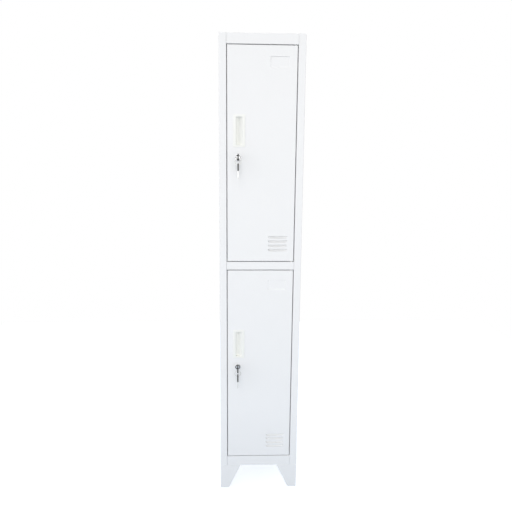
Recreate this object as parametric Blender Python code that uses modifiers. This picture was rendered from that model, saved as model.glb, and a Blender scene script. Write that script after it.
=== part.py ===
"""Double metal locker: one column, two compartments, on four folded sheet-steel legs.

Lengths are metres, +Z is up and the doors face -Y. Every cabinet piece is drawn in the cabinet
frame: x is zero midway between the sides, y is zero at the front face and grows inwards, and z is
zero at the floor. Door pieces use the same x and y, with z zero at the door's lower edge.
"""

import math

import bmesh
import bpy
from mathutils import Matrix, Vector

# Overall size
LOCKER_WIDTH = 0.315
LOCKER_DEPTH = 0.450
LOCKER_HEIGHT = 1.800

# Sheet steel and fits
SHEET = 0.0008
BEND_RADIUS = 0.0015
SEAT_GAP = 0.0003
CORNER_RELIEF = 0.002
CUT_OVERRUN = 0.003

# Legs
LEG_HEIGHT = 0.103
LEG_TOP_WIDTH = 0.083
LEG_FOOT_WIDTH = 0.034
LEG_SHEET = 0.0012

# Front frame and folded edges
STILE_WIDTH = 0.0275
TOP_RAIL_HEIGHT = 0.037
MIDDLE_RAIL_HEIGHT = 0.031
BOTTOM_RAIL_HEIGHT = 0.041
RAIL_LIP_SPACE = 0.002
STOP_WIDTH = 0.012
REAR_FLANGE = 0.0125
TRAY_FLANGE = 0.015
LEG_LIP_DEPTH = 0.018

# Doors
DOOR_GAP = 0.003
DOOR_THICKNESS = 0.016
DOOR_LIP = 0.010
DOOR_EDGE_RADIUS = 0.0012
STIFFENER_SIDE_SPACE = 0.004
STIFFENER_BRIM = 0.007
STIFFENER_WEB_RUN = 0.003
STIFFENER_DEPTH = 0.011
STIFFENER_END_SPACE = 0.012

# Card recess, measured from the door's upper edge and right edge
CARD_WIDTH = 0.068
CARD_HEIGHT = 0.0385
CARD_DEPTH = 0.0012
CARD_SLOPE = 0.0015
CARD_CORNER_RADIUS = 0.002
CARD_TOP_SPACE = 0.0385
CARD_SIDE_SPACE = 0.029
CARD_SLOT_HEIGHT = 0.0004
CARD_SLOT_EXTRA = 0.002

# Louvres, measured from the door's lower edge and right edge
LOUVRE_COUNT = 4
LOUVRE_WIDTH = 0.074
LOUVRE_DROP = 0.0085
LOUVRE_DEPTH = 0.005
LOUVRE_PITCH = 0.01665
LOUVRE_FIRST_SLIT = 0.047
LOUVRE_SIDE_SPACE = 0.025
LOUVRE_EDGE_RISE = 0.0005

# Inset pull: its recess, its walls round the recess, and its border over the door's face
PULL_EDGE_SPACE = 0.02225
PULL_TOP_SPACE = 0.242
PULL_RECESS_WIDTH = 0.0235
PULL_RECESS_HEIGHT = 0.102
PULL_RECESS_DEPTH = 0.0115
PULL_UNDERCUT = 0.0025
PULL_SIDE_WALL = 0.00375
PULL_END_WALL = 0.003
PULL_FLOOR_WALL = 0.002
PULL_FLOOR_WIDTH = 0.009
PULL_FLOOR_RISE = 0.001
PULL_LIP_THICKNESS = 0.002
PULL_BODY_RADIUS = 0.003
PULL_BORDER = 0.004
PULL_BORDER_THICKNESS = 0.0015
PULL_BORDER_RADIUS = 0.004

# Hinge pivots
PIVOT_RADIUS = 0.0025
PIVOT_CLEARANCE = 0.0003
PIN_RISE = 0.008
PIN_HEAD_SPACE = 0.0007
PIN_HEAD_THICKNESS = 0.0012
PIN_POINT = 0.0006
WASHER_BRIM = 0.0016
BUSH_WALL = 0.001
BUSH_FLANGE_BRIM = 0.001
BUSH_FLANGE_THICKNESS = 0.001
BRACKET_SHEET = 0.0012
BRACKET_HEIGHT = 0.034
BRACKET_LEG = 0.0115
BRACKET_WIDTH = 0.012
BRACKET_SIDE_SPACE = 0.0007
BOLT_PROTRUSION = 0.0022
BOLT_COLLAR_THICKNESS = 0.0015
BOLT_KNOB_RADIUS = 0.0036
BOLT_KNOB_LENGTH = 0.006
SPRING_WIRE_RADIUS = 0.0003
SPRING_CLEARANCE = 0.0003
SPRING_TURNS = 7
SPRING_POINTS_PER_TURN = 8

# Door buffers
BUFFER_RADIUS = 0.004
BUFFER_THICKNESS = 0.0034
BUFFER_END_SPACE = 0.060

# Clothes rails
CLOTHES_RAIL_RADIUS = 0.008
CLOTHES_RAIL_WALL = 0.001
CLOTHES_RAIL_DROP = 0.060
SOCKET_RIM = 0.0035
SOCKET_FLANGE_THICKNESS = 0.0016
SOCKET_WALL = 0.0022
SOCKET_LENGTH = 0.010

# Cam lock
LOCK_EDGE_SPACE = 0.040
LOCK_PULL_SPACE = 0.0375
LOCK_FACE_RADIUS = 0.0115
LOCK_FACE_THICKNESS = 0.0023
LOCK_FACE_CHAMFER = 0.0008
LOCK_BARREL_RADIUS = 0.0087
LOCK_NUT_WALL = 0.0027
LOCK_NUT_THICKNESS = 0.004
PLUG_RADIUS = 0.006
PLUG_FACE_SETBACK = 0.0003
PLUG_TAIL_WALL = 0.0007
PLUG_TAIL_LENGTH = 0.003
CAM_STOP_CLEARANCE = 0.0013
CAM_THICKNESS = 0.002
CAM_LENGTH = 0.038
CAM_WIDTH = 0.013
CAM_BOSS_RADIUS = 0.009
CAM_SCREW_RADIUS = 0.002
CAM_SCREW_HEAD_RADIUS = 0.0042
CAM_SCREW_HEAD_THICKNESS = 0.0022
CAM_SCREW_LENGTH = 0.005

# Keys
KEY_BLADE_THICKNESS = 0.0018
KEY_BLADE_WIDTH = 0.0076
KEY_END_SPACE = 0.0038
KEY_NECK_LENGTH = 0.0092
KEY_TANG_LENGTH = 0.006
KEY_CUT_COUNT = 5
KEY_BOW_LENGTH = 0.026
KEY_BOW_WIDTH = 0.026
KEY_BOW_NECK_WIDTH = 0.016
KEY_BOW_SHOULDER_LENGTH = 0.007
KEY_BOW_RADIUS = 0.005
KEY_BOW_THICKNESS = 0.005
KEY_BOW_WEB_THICKNESS = 0.003
KEY_DISH_BORDER = 0.0025
KEY_DISH_RADIUS = 0.003
KEY_HOLE_WIDTH = 0.0046
KEY_HOLE_HEIGHT = 0.009
KEY_HOLE_RIM = 0.0032
RING_RADIUS = 0.0115
RING_WIRE_RADIUS = 0.00075
RING_HANG_GAP = 0.00035
RING_PIVOT_SIDE = -0.001
RING_PIVOT_DROP = 0.009

# Faces round a turn, and the least angle that counts as a bend
SMALL_ROUND = 16
LARGE_ROUND = 24
NUT_SIDES = 6
WIRE_SIDES = 6
ARC_STEPS = 4
BEND_SEGMENTS = 2
LEAST_BEND = math.radians(25)

# Distances within which points are one point, as shares of the seating gap
WELD_SHARE = 0.1
TURNED_WELD_SHARE = 0.03

# How deep each cut of the key goes, as shares of the blade's width
KEY_CUT_SHARES = (0.18, 0.34, 0.22, 0.38, 0.26)
# Where a cut's flat starts and ends, as shares of the space for one cut
KEY_CUT_START_SHARE = 0.33
KEY_CUT_END_SHARE = 0.67
# How far the blade's tip tapers, as shares of its width and length
KEY_TIP_WIDTH_SHARE = 0.45
KEY_TIP_LENGTH_SHARE = 0.12

# Colour, roughness and metallic value of each finish
FINISHES = {
    "white powder coat": ((0.86, 0.88, 0.90, 1.0), 0.45, 0.0),
    "cream plastic": ((0.80, 0.79, 0.72, 1.0), 0.40, 0.0),
    "chrome": ((0.78, 0.78, 0.80, 1.0), 0.15, 1.0),
    "zinc steel": ((0.62, 0.62, 0.60, 1.0), 0.35, 1.0),
    "key steel": ((0.70, 0.70, 0.68, 1.0), 0.25, 1.0),
    "black plastic": ((0.02, 0.02, 0.022, 1.0), 0.40, 0.0),
    "nylon": ((0.75, 0.74, 0.70, 1.0), 0.50, 0.0),
    "rubber": ((0.60, 0.60, 0.58, 1.0), 0.80, 0.0),
}

# Places worked out from the sizes above
HALF_WIDTH = LOCKER_WIDTH / 2
STILE_INNER_X = HALF_WIDTH - STILE_WIDTH
RAIL_HALF = STILE_INNER_X - SEAT_GAP
TRAY_HALF = HALF_WIDTH - SHEET - SEAT_GAP
BACK_PANEL_Y = LOCKER_DEPTH - SHEET
SIDE_REAR_Y = BACK_PANEL_Y - SEAT_GAP
TRAY_REAR_Y = SIDE_REAR_Y - SHEET - SEAT_GAP
STOP_SETBACK = DOOR_THICKNESS + SEAT_GAP + BUFFER_THICKNESS + SEAT_GAP
RAIL_LIP_DEPTH = STOP_SETBACK - RAIL_LIP_SPACE
DOOR_HALF = STILE_INNER_X - DOOR_GAP
OPENING_HEIGHT = (
    LOCKER_HEIGHT - LEG_HEIGHT - TOP_RAIL_HEIGHT - MIDDLE_RAIL_HEIGHT - BOTTOM_RAIL_HEIGHT
) / 2
DOOR_HEIGHT = OPENING_HEIGHT - DOOR_GAP - DOOR_GAP
LOWER_FLOOR_Z = LEG_HEIGHT + BOTTOM_RAIL_HEIGHT
SHELF_TOP_Z = LOWER_FLOOR_Z + OPENING_HEIGHT + MIDDLE_RAIL_HEIGHT
SKIN_BACK_Y = SHEET + SEAT_GAP

# The pull's body and border round its recess
PULL_BODY_WIDTH = PULL_RECESS_WIDTH + (PULL_UNDERCUT + PULL_SIDE_WALL) * 2
PULL_BODY_HEIGHT = PULL_RECESS_HEIGHT + PULL_END_WALL * 2
PULL_BODY_DEPTH = PULL_RECESS_DEPTH + PULL_FLOOR_WALL
PULL_BORDER_WIDTH = PULL_BODY_WIDTH + PULL_BORDER * 2
PULL_BORDER_HEIGHT = PULL_BODY_HEIGHT + PULL_BORDER * 2
PULL_CENTRE_X = -DOOR_HALF + PULL_EDGE_SPACE + PULL_BORDER_WIDTH / 2
PULL_CENTRE_Z = DOOR_HEIGHT - PULL_TOP_SPACE - PULL_BORDER_HEIGHT / 2

# The stiffener fills the width between the pull and whichever pressing reaches further left
PRESSINGS_LEFT_X = DOOR_HALF - max(CARD_SIDE_SPACE + CARD_WIDTH, LOUVRE_SIDE_SPACE + LOUVRE_WIDTH) - SHEET
STIFFENER_LEFT_X = PULL_CENTRE_X + PULL_BODY_WIDTH / 2 + STIFFENER_SIDE_SPACE
STIFFENER_RIGHT_X = PRESSINGS_LEFT_X - STIFFENER_SIDE_SPACE

# The pivots, from the inside out: bolt, spring, collar, bracket, then the place of their axis
PIVOT_HOLE_RADIUS = PIVOT_RADIUS + PIVOT_CLEARANCE
SPRING_RADIUS = PIVOT_RADIUS + SPRING_CLEARANCE + SPRING_WIRE_RADIUS
BOLT_COLLAR_RADIUS = SPRING_RADIUS + SPRING_WIRE_RADIUS
HINGE_SETBACK = SKIN_BACK_Y + BRACKET_SHEET + SEAT_GAP + BOLT_COLLAR_RADIUS
HINGE_X = DOOR_HALF - SHEET - BRACKET_SIDE_SPACE - BRACKET_WIDTH / 2
PIN_HEAD_RADIUS = HINGE_SETBACK - SHEET - PIN_HEAD_SPACE
WASHER_RADIUS = PIVOT_HOLE_RADIUS + WASHER_BRIM
BUSH_RADIUS = PIVOT_HOLE_RADIUS + BUSH_WALL
BUSH_FLANGE_RADIUS = BUSH_RADIUS + BUSH_FLANGE_BRIM

# The lock, measured along its axis from the door's front face; its cam turns behind the door stop
LOCK_X = -DOOR_HALF + LOCK_EDGE_SPACE
LOCK_Z = PULL_CENTRE_Z - PULL_BORDER_HEIGHT / 2 - LOCK_PULL_SPACE
LOCK_FACE_Y = -SEAT_GAP - LOCK_FACE_THICKNESS
CAM_FACE_Y = STOP_SETBACK + SHEET + CAM_STOP_CLEARANCE
PLUG_BODY_END_Y = CAM_FACE_Y - SEAT_GAP
LOCK_BARREL_END_Y = PLUG_BODY_END_Y - SEAT_GAP
PLUG_FACE_Y = LOCK_FACE_Y + PLUG_FACE_SETBACK
PLUG_TAIL_END_Y = PLUG_BODY_END_Y + PLUG_TAIL_LENGTH
PLUG_TAIL_WIDTH = (CAM_SCREW_RADIUS + SEAT_GAP + PLUG_TAIL_WALL) * 2
CAM_Y = CAM_FACE_Y + CAM_THICKNESS / 2
CAM_SCREW_SEAT_Y = PLUG_TAIL_END_Y + SEAT_GAP
LOCK_NUT_RADIUS = (LOCK_BARREL_RADIUS + SEAT_GAP + LOCK_NUT_WALL) / math.cos(math.pi / NUT_SIDES)

# The keys and their ring
KEY_BLADE_LENGTH = LOCK_BARREL_END_Y - PLUG_FACE_Y - KEY_END_SPACE
KEY_BOW_FACE_Y = PLUG_FACE_Y - KEY_NECK_LENGTH
KEY_HOLE_REACH = KEY_BOW_LENGTH - KEY_HOLE_RIM - KEY_HOLE_WIDTH / 2
RING_Y = KEY_BOW_FACE_Y - KEY_HOLE_REACH
RING_TOP_Z = -KEY_HOLE_HEIGHT / 2 + RING_WIRE_RADIUS + RING_HANG_GAP
RING_CENTRE_Z = RING_TOP_Z - RING_RADIUS
SPARE_WIRE_Z = RING_CENTRE_Z - RING_RADIUS
SPARE_HOLE_DROP = KEY_HOLE_WIDTH / 2 - RING_WIRE_RADIUS - RING_HANG_GAP
KEY_REACH = KEY_BOW_WIDTH / 2 - RING_Y
CABINET_Y = -(LOCKER_DEPTH - KEY_REACH) / 2

# Turns that carry a flat shape's own x, y and z into the plane it is named for
UPRIGHT = Matrix(((1, 0, 0, 0), (0, 0, -1, 0), (0, 1, 0, 0), (0, 0, 0, 1)))
SIDEWAYS = Matrix(((0, 0, 1, 0), (1, 0, 0, 0), (0, 1, 0, 0), (0, 0, 0, 1)))
INWARDS = Matrix(((1, 0, 0, 0), (0, 0, 1, 0), (0, -1, 0, 0), (0, 0, 0, 1)))
ACROSS = Matrix(((0, 0, 1, 0), (0, 1, 0, 0), (-1, 0, 0, 0), (0, 0, 0, 1)))


def clear_scene():
    """Remove every object, so that the script can run again in the same file."""
    for old in list(bpy.data.objects):
        bpy.data.objects.remove(old, do_unlink=True)
    for old in list(bpy.data.collections):
        bpy.data.collections.remove(old)


def new_collection(name):
    """Make a collection in the scene."""
    collection = bpy.data.collections.new(name)
    bpy.context.scene.collection.children.link(collection)
    return collection


def finish_material(name, finish):
    """Make one piece's own material from the table of finishes."""
    colour, roughness, metallic = FINISHES[finish]
    material = bpy.data.materials.new(name)
    material.use_nodes = True
    shader = material.node_tree.nodes["Principled BSDF"]
    shader.inputs["Base Color"].default_value = colour
    shader.inputs["Roughness"].default_value = roughness
    shader.inputs["Metallic"].default_value = metallic
    material.diffuse_color = colour
    return material


def axis_empty(name, parent, place):
    """Make an empty at a place in its parent's frame; moving pieces hang on one at their axis."""
    empty = bpy.data.objects.new(name, None)
    bpy.data.collections["double_locker"].objects.link(empty)
    empty.parent = parent
    empty.location = place
    return empty


def add_piece(name, data, finish, parent, place=(0, 0, 0)):
    """Make one named piece of the locker from mesh or curve data."""
    piece = bpy.data.objects.new(name, data)
    bpy.data.collections["double_locker"].objects.link(piece)
    piece.parent = parent
    piece.location = place
    data.materials.append(finish_material(name, finish))
    return piece


def boolean(piece, data, parent, operation, place=(0, 0, 0)):
    """Cut or join a closed mesh with a piece, in the frame of the given parent."""
    tool = bpy.data.objects.new(piece.name + "_" + operation.lower(), data)
    bpy.data.collections["cutters"].objects.link(tool)
    tool.parent = parent
    tool.location = place
    tool.hide_render = True
    tool.display_type = "WIRE"
    modifier = piece.modifiers.new(operation.title(), "BOOLEAN")
    modifier.operation = operation
    modifier.solver = "EXACT"
    modifier.object = tool


def cut(piece, data, parent, place=(0, 0, 0)):
    """Take a closed mesh out of a piece."""
    boolean(piece, data, parent, "DIFFERENCE", place)


def join(piece, data, parent, place=(0, 0, 0)):
    """Fuse a closed mesh to a piece."""
    boolean(piece, data, parent, "UNION", place)


def thicken(piece, thickness):
    """Give an open surface its wall, on the side away from its normals."""
    solidify = piece.modifiers.new("Wall", "SOLIDIFY")
    solidify.thickness = thickness
    solidify.offset = -1
    solidify.use_even_offset = True


def round_bends(piece, radius):
    """Round the bends of a folded surface before it is thickened."""
    bevel = piece.modifiers.new("Bends", "BEVEL")
    bevel.width = radius
    bevel.segments = BEND_SEGMENTS
    bevel.limit_method = "ANGLE"
    bevel.angle_limit = LEAST_BEND


def to_mesh_data(name, bm):
    """Write a bmesh into new mesh data."""
    data = bpy.data.meshes.new(name)
    bm.to_mesh(data)
    bm.free()
    return data


def box_data(low, high):
    """A box between two corners."""
    bm = bmesh.new()
    bmesh.ops.create_cube(bm, size=1)
    size = Vector(high) - Vector(low)
    centre = (Vector(high) + Vector(low)) / 2
    bmesh.ops.scale(bm, vec=size, verts=bm.verts)
    bmesh.ops.translate(bm, vec=centre, verts=bm.verts)
    return to_mesh_data("box", bm)


def drum_data(radius, bottom, top, turn=Matrix.Identity(4), sides=SMALL_ROUND):
    """A cylinder round its own z axis, from bottom to top, turned as asked."""
    bm = bmesh.new()
    bmesh.ops.create_cone(
        bm, cap_ends=True, segments=sides, radius1=radius, radius2=radius, depth=top - bottom
    )
    bmesh.ops.translate(bm, vec=(0, 0, (top + bottom) / 2), verts=bm.verts)
    bmesh.ops.transform(bm, matrix=turn, verts=bm.verts)
    return to_mesh_data("drum", bm)


def rounded(points, radii, steps=ARC_STEPS):
    """Round the corners of a closed outline, each with its own radius."""
    outline = []
    count = len(points)
    for index, (point, radius) in enumerate(zip(points, radii)):
        here = Vector(point)
        if radius == 0:
            outline.append(here)
            continue
        before = (Vector(points[index - 1]) - here).normalized()
        after = (Vector(points[(index + 1) % count]) - here).normalized()
        half_angle = before.angle(after) / 2
        run = radius / math.tan(half_angle)
        centre = here + (before + after).normalized() * (radius / math.sin(half_angle))
        start = here + before * run - centre
        sweep = start.angle_signed(here + after * run - centre)
        for step in range(steps + 1):
            turn = Matrix.Rotation(-sweep * step / steps, 2)
            outline.append(centre + turn @ start)
    return outline


def rectangle(low, high):
    """The four corners of a rectangle."""
    return [(low[0], low[1]), (high[0], low[1]), (high[0], high[1]), (low[0], high[1])]


def rounded_rectangle(low, high, radius):
    """A rectangle with four alike corners."""
    corners = rectangle(low, high)
    return rounded(corners, [radius] * len(corners))


def flat_curve(outlines, thickness):
    """A filled flat curve of one or more outlines, extruded to a thickness about its plane."""
    curve = bpy.data.curves.new("outline", "CURVE")
    curve.dimensions = "2D"
    curve.fill_mode = "BOTH"
    curve.extrude = thickness / 2
    for points in outlines:
        spline = curve.splines.new("POLY")
        spline.points.add(len(points) - 1)
        for target, (x, y) in zip(spline.points, points):
            target.co = (x, y, 0, 1)
        spline.use_cyclic_u = True
    return curve


def plate_data(outlines, low, high, turn):
    """A plate from low to high along its own z, made a welded mesh and turned as asked."""
    curve = flat_curve(outlines, high - low)
    carrier = bpy.data.objects.new("outline", curve)
    bpy.context.scene.collection.objects.link(carrier)
    evaluated = carrier.evaluated_get(bpy.context.evaluated_depsgraph_get())
    data = bpy.data.meshes.new_from_object(evaluated)
    bpy.data.objects.remove(carrier, do_unlink=True)
    bpy.data.curves.remove(curve)
    bm = bmesh.new()
    bm.from_mesh(data)
    bmesh.ops.remove_doubles(bm, verts=bm.verts, dist=SEAT_GAP * WELD_SHARE)
    bmesh.ops.translate(bm, vec=(0, 0, (high + low) / 2), verts=bm.verts)
    bmesh.ops.transform(bm, matrix=turn, verts=bm.verts)
    bm.to_mesh(data)
    bm.free()
    return data


def turned_piece(
    name, profile, finish, parent, turn, place=(0, 0, 0), sides=SMALL_ROUND, closed=False
):
    """A turned piece: (radius, height) pairs down its outer side, spun round its own z axis."""
    bm = bmesh.new()
    verts = [bm.verts.new((radius, 0, height)) for radius, height in profile]
    for first, second in zip(verts, verts[1:]):
        bm.edges.new((first, second))
    if closed:
        bm.edges.new((verts[-1], verts[0]))
    piece = add_piece(name, to_mesh_data(name, bm), finish, parent, place)
    piece.rotation_euler = turn.to_euler()
    screw = piece.modifiers.new("Turned", "SCREW")
    screw.axis = "Z"
    screw.steps = sides
    screw.render_steps = sides
    screw.use_merge_vertices = True
    screw.merge_threshold = SEAT_GAP * TURNED_WELD_SHARE
    screw.use_smooth_shade = True
    return piece


def lies_across(edge, direction):
    """Whether an edge runs across a direction rather than along it."""
    run = (edge.verts[1].co - edge.verts[0].co).normalized()
    return abs(run.dot(Vector(direction).normalized())) < math.sin(LEAST_BEND)


def fold(bm, edges, direction):
    """Extrude open edges of a sheet along a direction and give back the new edges."""
    made = bmesh.ops.extrude_edge_only(bm, edges=edges)["geom"]
    new_verts = [item for item in made if isinstance(item, bmesh.types.BMVert)]
    new_edges = [item for item in made if isinstance(item, bmesh.types.BMEdge) and item.is_boundary]
    bmesh.ops.translate(bm, vec=direction, verts=new_verts)
    return [edge for edge in new_edges if edge not in edges and lies_across(edge, direction)]


def face_out(bm, guide, outward):
    """Make the sheet's faces agree, with the guide face looking along outward."""
    bmesh.ops.recalc_face_normals(bm, faces=bm.faces)
    if guide.normal.dot(Vector(outward)) < 0:
        bmesh.ops.reverse_faces(bm, faces=bm.faces)


def folded_strip(profile, length, turn=Matrix.Identity(4)):
    """A strip bent to a profile and drawn along z; its wall goes to the right of the profile."""
    bm = bmesh.new()
    verts = [bm.verts.new((x, y, 0)) for x, y in profile]
    edges = [bm.edges.new(pair) for pair in zip(verts, verts[1:])]
    fold(bm, edges, (0, 0, length))
    run = verts[1].co - verts[0].co
    face_out(bm, edges[0].link_faces[0], (-run.y, run.x, 0))
    bmesh.ops.transform(bm, matrix=turn, verts=bm.verts)
    return to_mesh_data("strip", bm)


def mirrored(data, flip_x, flip_y):
    """A copy of a surface mirrored in x, in y or in both."""
    copy = data.copy()
    copy.transform(Matrix.Diagonal((-1 if flip_x else 1, -1 if flip_y else 1, 1, 1)))
    if flip_x != flip_y:
        copy.flip_normals()
    return copy


def side_panel(name, right, parent):
    """One folded sheet: door stop, return lip, stile face, side wall and rear flange."""
    profile = [
        (-STILE_INNER_X + STOP_WIDTH, STOP_SETBACK),
        (-STILE_INNER_X, STOP_SETBACK),
        (-STILE_INNER_X, 0),
        (-HALF_WIDTH, 0),
        (-HALF_WIDTH, SIDE_REAR_Y),
        (-HALF_WIDTH + REAR_FLANGE, SIDE_REAR_Y),
    ]
    data = folded_strip(profile, LOCKER_HEIGHT - LEG_HEIGHT)
    side = -1
    if right:
        data = mirrored(data, True, False)
        side = 1
    panel = add_piece(name, data, "white powder coat", parent, (0, 0, LEG_HEIGHT))
    round_bends(panel, BEND_RADIUS)
    thicken(panel, SHEET)
    # The lip and the stop end just below the top panel, which lies over them
    inner = side * (STILE_INNER_X - STOP_WIDTH - CUT_OVERRUN)
    outer = side * (STILE_INNER_X + SHEET + SEAT_GAP)
    low = (min(inner, outer), SHEET, LOCKER_HEIGHT - SHEET - SEAT_GAP)
    high = (max(inner, outer), STOP_SETBACK + SHEET + CUT_OVERRUN, LOCKER_HEIGHT + CUT_OVERRUN)
    cut(panel, box_data(low, high), parent)
    return panel


def tray_outline(covers_stiles):
    """The flat plan of a tray, with necks round the door stops or ears over the stiles."""
    if covers_stiles:
        ear_y = SHEET + SEAT_GAP
        right_front = [
            (RAIL_HALF, 0),
            (RAIL_HALF, ear_y),
            (TRAY_HALF - CORNER_RELIEF, ear_y),
            (TRAY_HALF, ear_y + CORNER_RELIEF),
        ]
    else:
        neck = RAIL_HALF - STOP_WIDTH
        neck_front = STOP_SETBACK - SEAT_GAP
        neck_rear = STOP_SETBACK + SHEET + SEAT_GAP
        right_front = [
            (RAIL_HALF, 0),
            (RAIL_HALF, neck_front - CORNER_RELIEF),
            (RAIL_HALF - CORNER_RELIEF, neck_front),
            (neck, neck_front),
            (neck, neck_rear),
            (TRAY_HALF, neck_rear),
        ]
    right = right_front + [
        (TRAY_HALF, TRAY_REAR_Y - CORNER_RELIEF),
        (TRAY_HALF - CORNER_RELIEF, TRAY_REAR_Y),
    ]
    return right + [(-x, y) for x, y in reversed(right)]


def tray(name, top_z, rail_height, side_drop, side_lip, covers_stiles, parent):
    """A plate folded down at its front, sides and rear, with a lip behind its front rail."""
    bm = bmesh.new()
    outline = tray_outline(covers_stiles)
    verts = [bm.verts.new((x, y, 0)) for x, y in outline]
    plate = bm.faces.new(verts)
    count = len(outline)
    pairs = [(index, (index + 1) % count) for index in range(count)]
    edges = {pair: bm.edges.get((verts[pair[0]], verts[pair[1]])) for pair in pairs}
    right_side = max(pairs[: count // 2], key=lambda pair: outline[pair[1]][1] - outline[pair[0]][1])
    left_side = (count - 1 - right_side[1], count - 1 - right_side[0])
    front = fold(bm, [edges[(count - 1, 0)]], (0, 0, -rail_height))
    fold(bm, front, (0, RAIL_LIP_DEPTH, 0))
    fold(bm, [edges[(count // 2 - 1, count // 2)]], (0, 0, -side_drop))
    for pair, inwards in ((right_side, -1), (left_side, 1)):
        drop = fold(bm, [edges[pair]], (0, 0, -side_drop))
        if side_lip:
            fold(bm, drop, (inwards * side_lip, 0, 0))
    face_out(bm, plate, (0, 0, 1))
    panel = add_piece(name, to_mesh_data(name, bm), "white powder coat", parent, (0, 0, top_z))
    round_bends(panel, BEND_RADIUS)
    thicken(panel, SHEET)
    return panel


def pivot_hole(panel, level, parent):
    """Drill the door pivot's hole through a panel at the hinge axis."""
    place = (HINGE_X, HINGE_SETBACK, level)
    cut(panel, drum_data(PIVOT_HOLE_RADIUS, -CUT_OVERRUN, CUT_OVERRUN), parent, place)


def leg_data():
    """The front left leg: two tapered faces that meet at the corner, closed above and below."""
    bm = bmesh.new()
    foot = bm.verts.new((0, 0, 0))
    head = bm.verts.new((0, 0, LEG_HEIGHT - SEAT_GAP))
    corner = bm.edges.new((foot, head))
    tips = []
    for across in (Vector((1, 0, 0)), Vector((0, 1, 0))):
        made = bmesh.ops.extrude_edge_only(bm, edges=[corner])["geom"]
        new = [item for item in made if isinstance(item, bmesh.types.BMVert)]
        low = min(new, key=lambda vert: vert.co.z)
        high = max(new, key=lambda vert: vert.co.z)
        low.co += across * LEG_FOOT_WIDTH
        high.co += across * LEG_TOP_WIDTH
        tips.append((low, high))
    bmesh.ops.contextual_create(bm, geom=[foot, tips[0][0], tips[1][0]])
    bmesh.ops.contextual_create(bm, geom=[head, tips[0][1], tips[1][1]])
    front = next(face for face in corner.link_faces if tips[0][0] in face.verts)
    face_out(bm, front, (0, -1, 0))
    return to_mesh_data("leg", bm)


def legs(parent):
    """Four alike legs, mirrored into the corners."""
    base = leg_data()
    for depth_word, flip_y, y in (("front", False, 0), ("rear", True, LOCKER_DEPTH)):
        for side_word, flip_x, x in (("left", False, -HALF_WIDTH), ("right", True, HALF_WIDTH)):
            name = depth_word + "_" + side_word + "_leg"
            data = mirrored(base, flip_x, flip_y)
            leg = add_piece(name, data, "white powder coat", parent, (x, y, 0))
            round_bends(leg, BEND_RADIUS)
            thicken(leg, LEG_SHEET)


def cabinet(parent):
    """The fixed sheet-metal body."""
    side_panel("left_side_panel", False, parent)
    side_panel("right_side_panel", True, parent)
    back_low = (-HALF_WIDTH, BACK_PANEL_Y, LEG_HEIGHT)
    back_high = (HALF_WIDTH, LOCKER_DEPTH, LOCKER_HEIGHT)
    add_piece("back_panel", box_data(back_low, back_high), "white powder coat", parent)
    top = tray("top_panel", LOCKER_HEIGHT, TOP_RAIL_HEIGHT, TRAY_FLANGE, 0, True, parent)
    shelf = tray("middle_shelf", SHELF_TOP_Z, MIDDLE_RAIL_HEIGHT, TRAY_FLANGE, 0, False, parent)
    rail = BOTTOM_RAIL_HEIGHT
    floor = tray("bottom_panel", LOWER_FLOOR_Z, rail, rail, LEG_LIP_DEPTH, False, parent)
    pivot_hole(top, LOCKER_HEIGHT - TOP_RAIL_HEIGHT, parent)
    pivot_hole(shelf, SHELF_TOP_Z - MIDDLE_RAIL_HEIGHT, parent)
    pivot_hole(shelf, SHELF_TOP_Z, parent)
    pivot_hole(floor, LOWER_FLOOR_Z, parent)
    legs(parent)


def lower_pivot(tier, floor_z, parent):
    """The pin that carries a door's lower corner, and the washer under the door."""
    head_top = -SHEET - SEAT_GAP
    pin = [
        (0, DOOR_GAP + PIN_RISE),
        (PIVOT_RADIUS - PIN_POINT, DOOR_GAP + PIN_RISE),
        (PIVOT_RADIUS, DOOR_GAP + PIN_RISE - PIN_POINT),
        (PIVOT_RADIUS, head_top),
        (PIN_HEAD_RADIUS, head_top),
        (PIN_HEAD_RADIUS, head_top - PIN_HEAD_THICKNESS),
        (0, head_top - PIN_HEAD_THICKNESS),
    ]
    place = (HINGE_X, HINGE_SETBACK, floor_z)
    upright = Matrix.Identity(4)
    turned_piece(tier + "_pivot_pin", pin, "zinc steel", parent, upright, place)
    washer = [
        (WASHER_RADIUS, DOOR_GAP - SEAT_GAP),
        (WASHER_RADIUS, SEAT_GAP),
        (PIVOT_HOLE_RADIUS, SEAT_GAP),
        (PIVOT_HOLE_RADIUS, DOOR_GAP - SEAT_GAP),
    ]
    turned_piece(tier + "_hinge_washer", washer, "nylon", parent, upright, place, closed=True)


def door_buffers(tier, floor_z, parent):
    """Two rubber pads on the left door stop."""
    x = -STILE_INNER_X + STOP_WIDTH / 2
    low = DOOR_THICKNESS + SEAT_GAP
    bottom_z = floor_z + BUFFER_END_SPACE
    top_z = floor_z + OPENING_HEIGHT - BUFFER_END_SPACE
    for word, z in (("bottom", bottom_z), ("top", top_z)):
        data = drum_data(BUFFER_RADIUS, low, low + BUFFER_THICKNESS, INWARDS)
        add_piece(tier + "_" + word + "_buffer", data, "rubber", parent, (x, 0, z))


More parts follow.
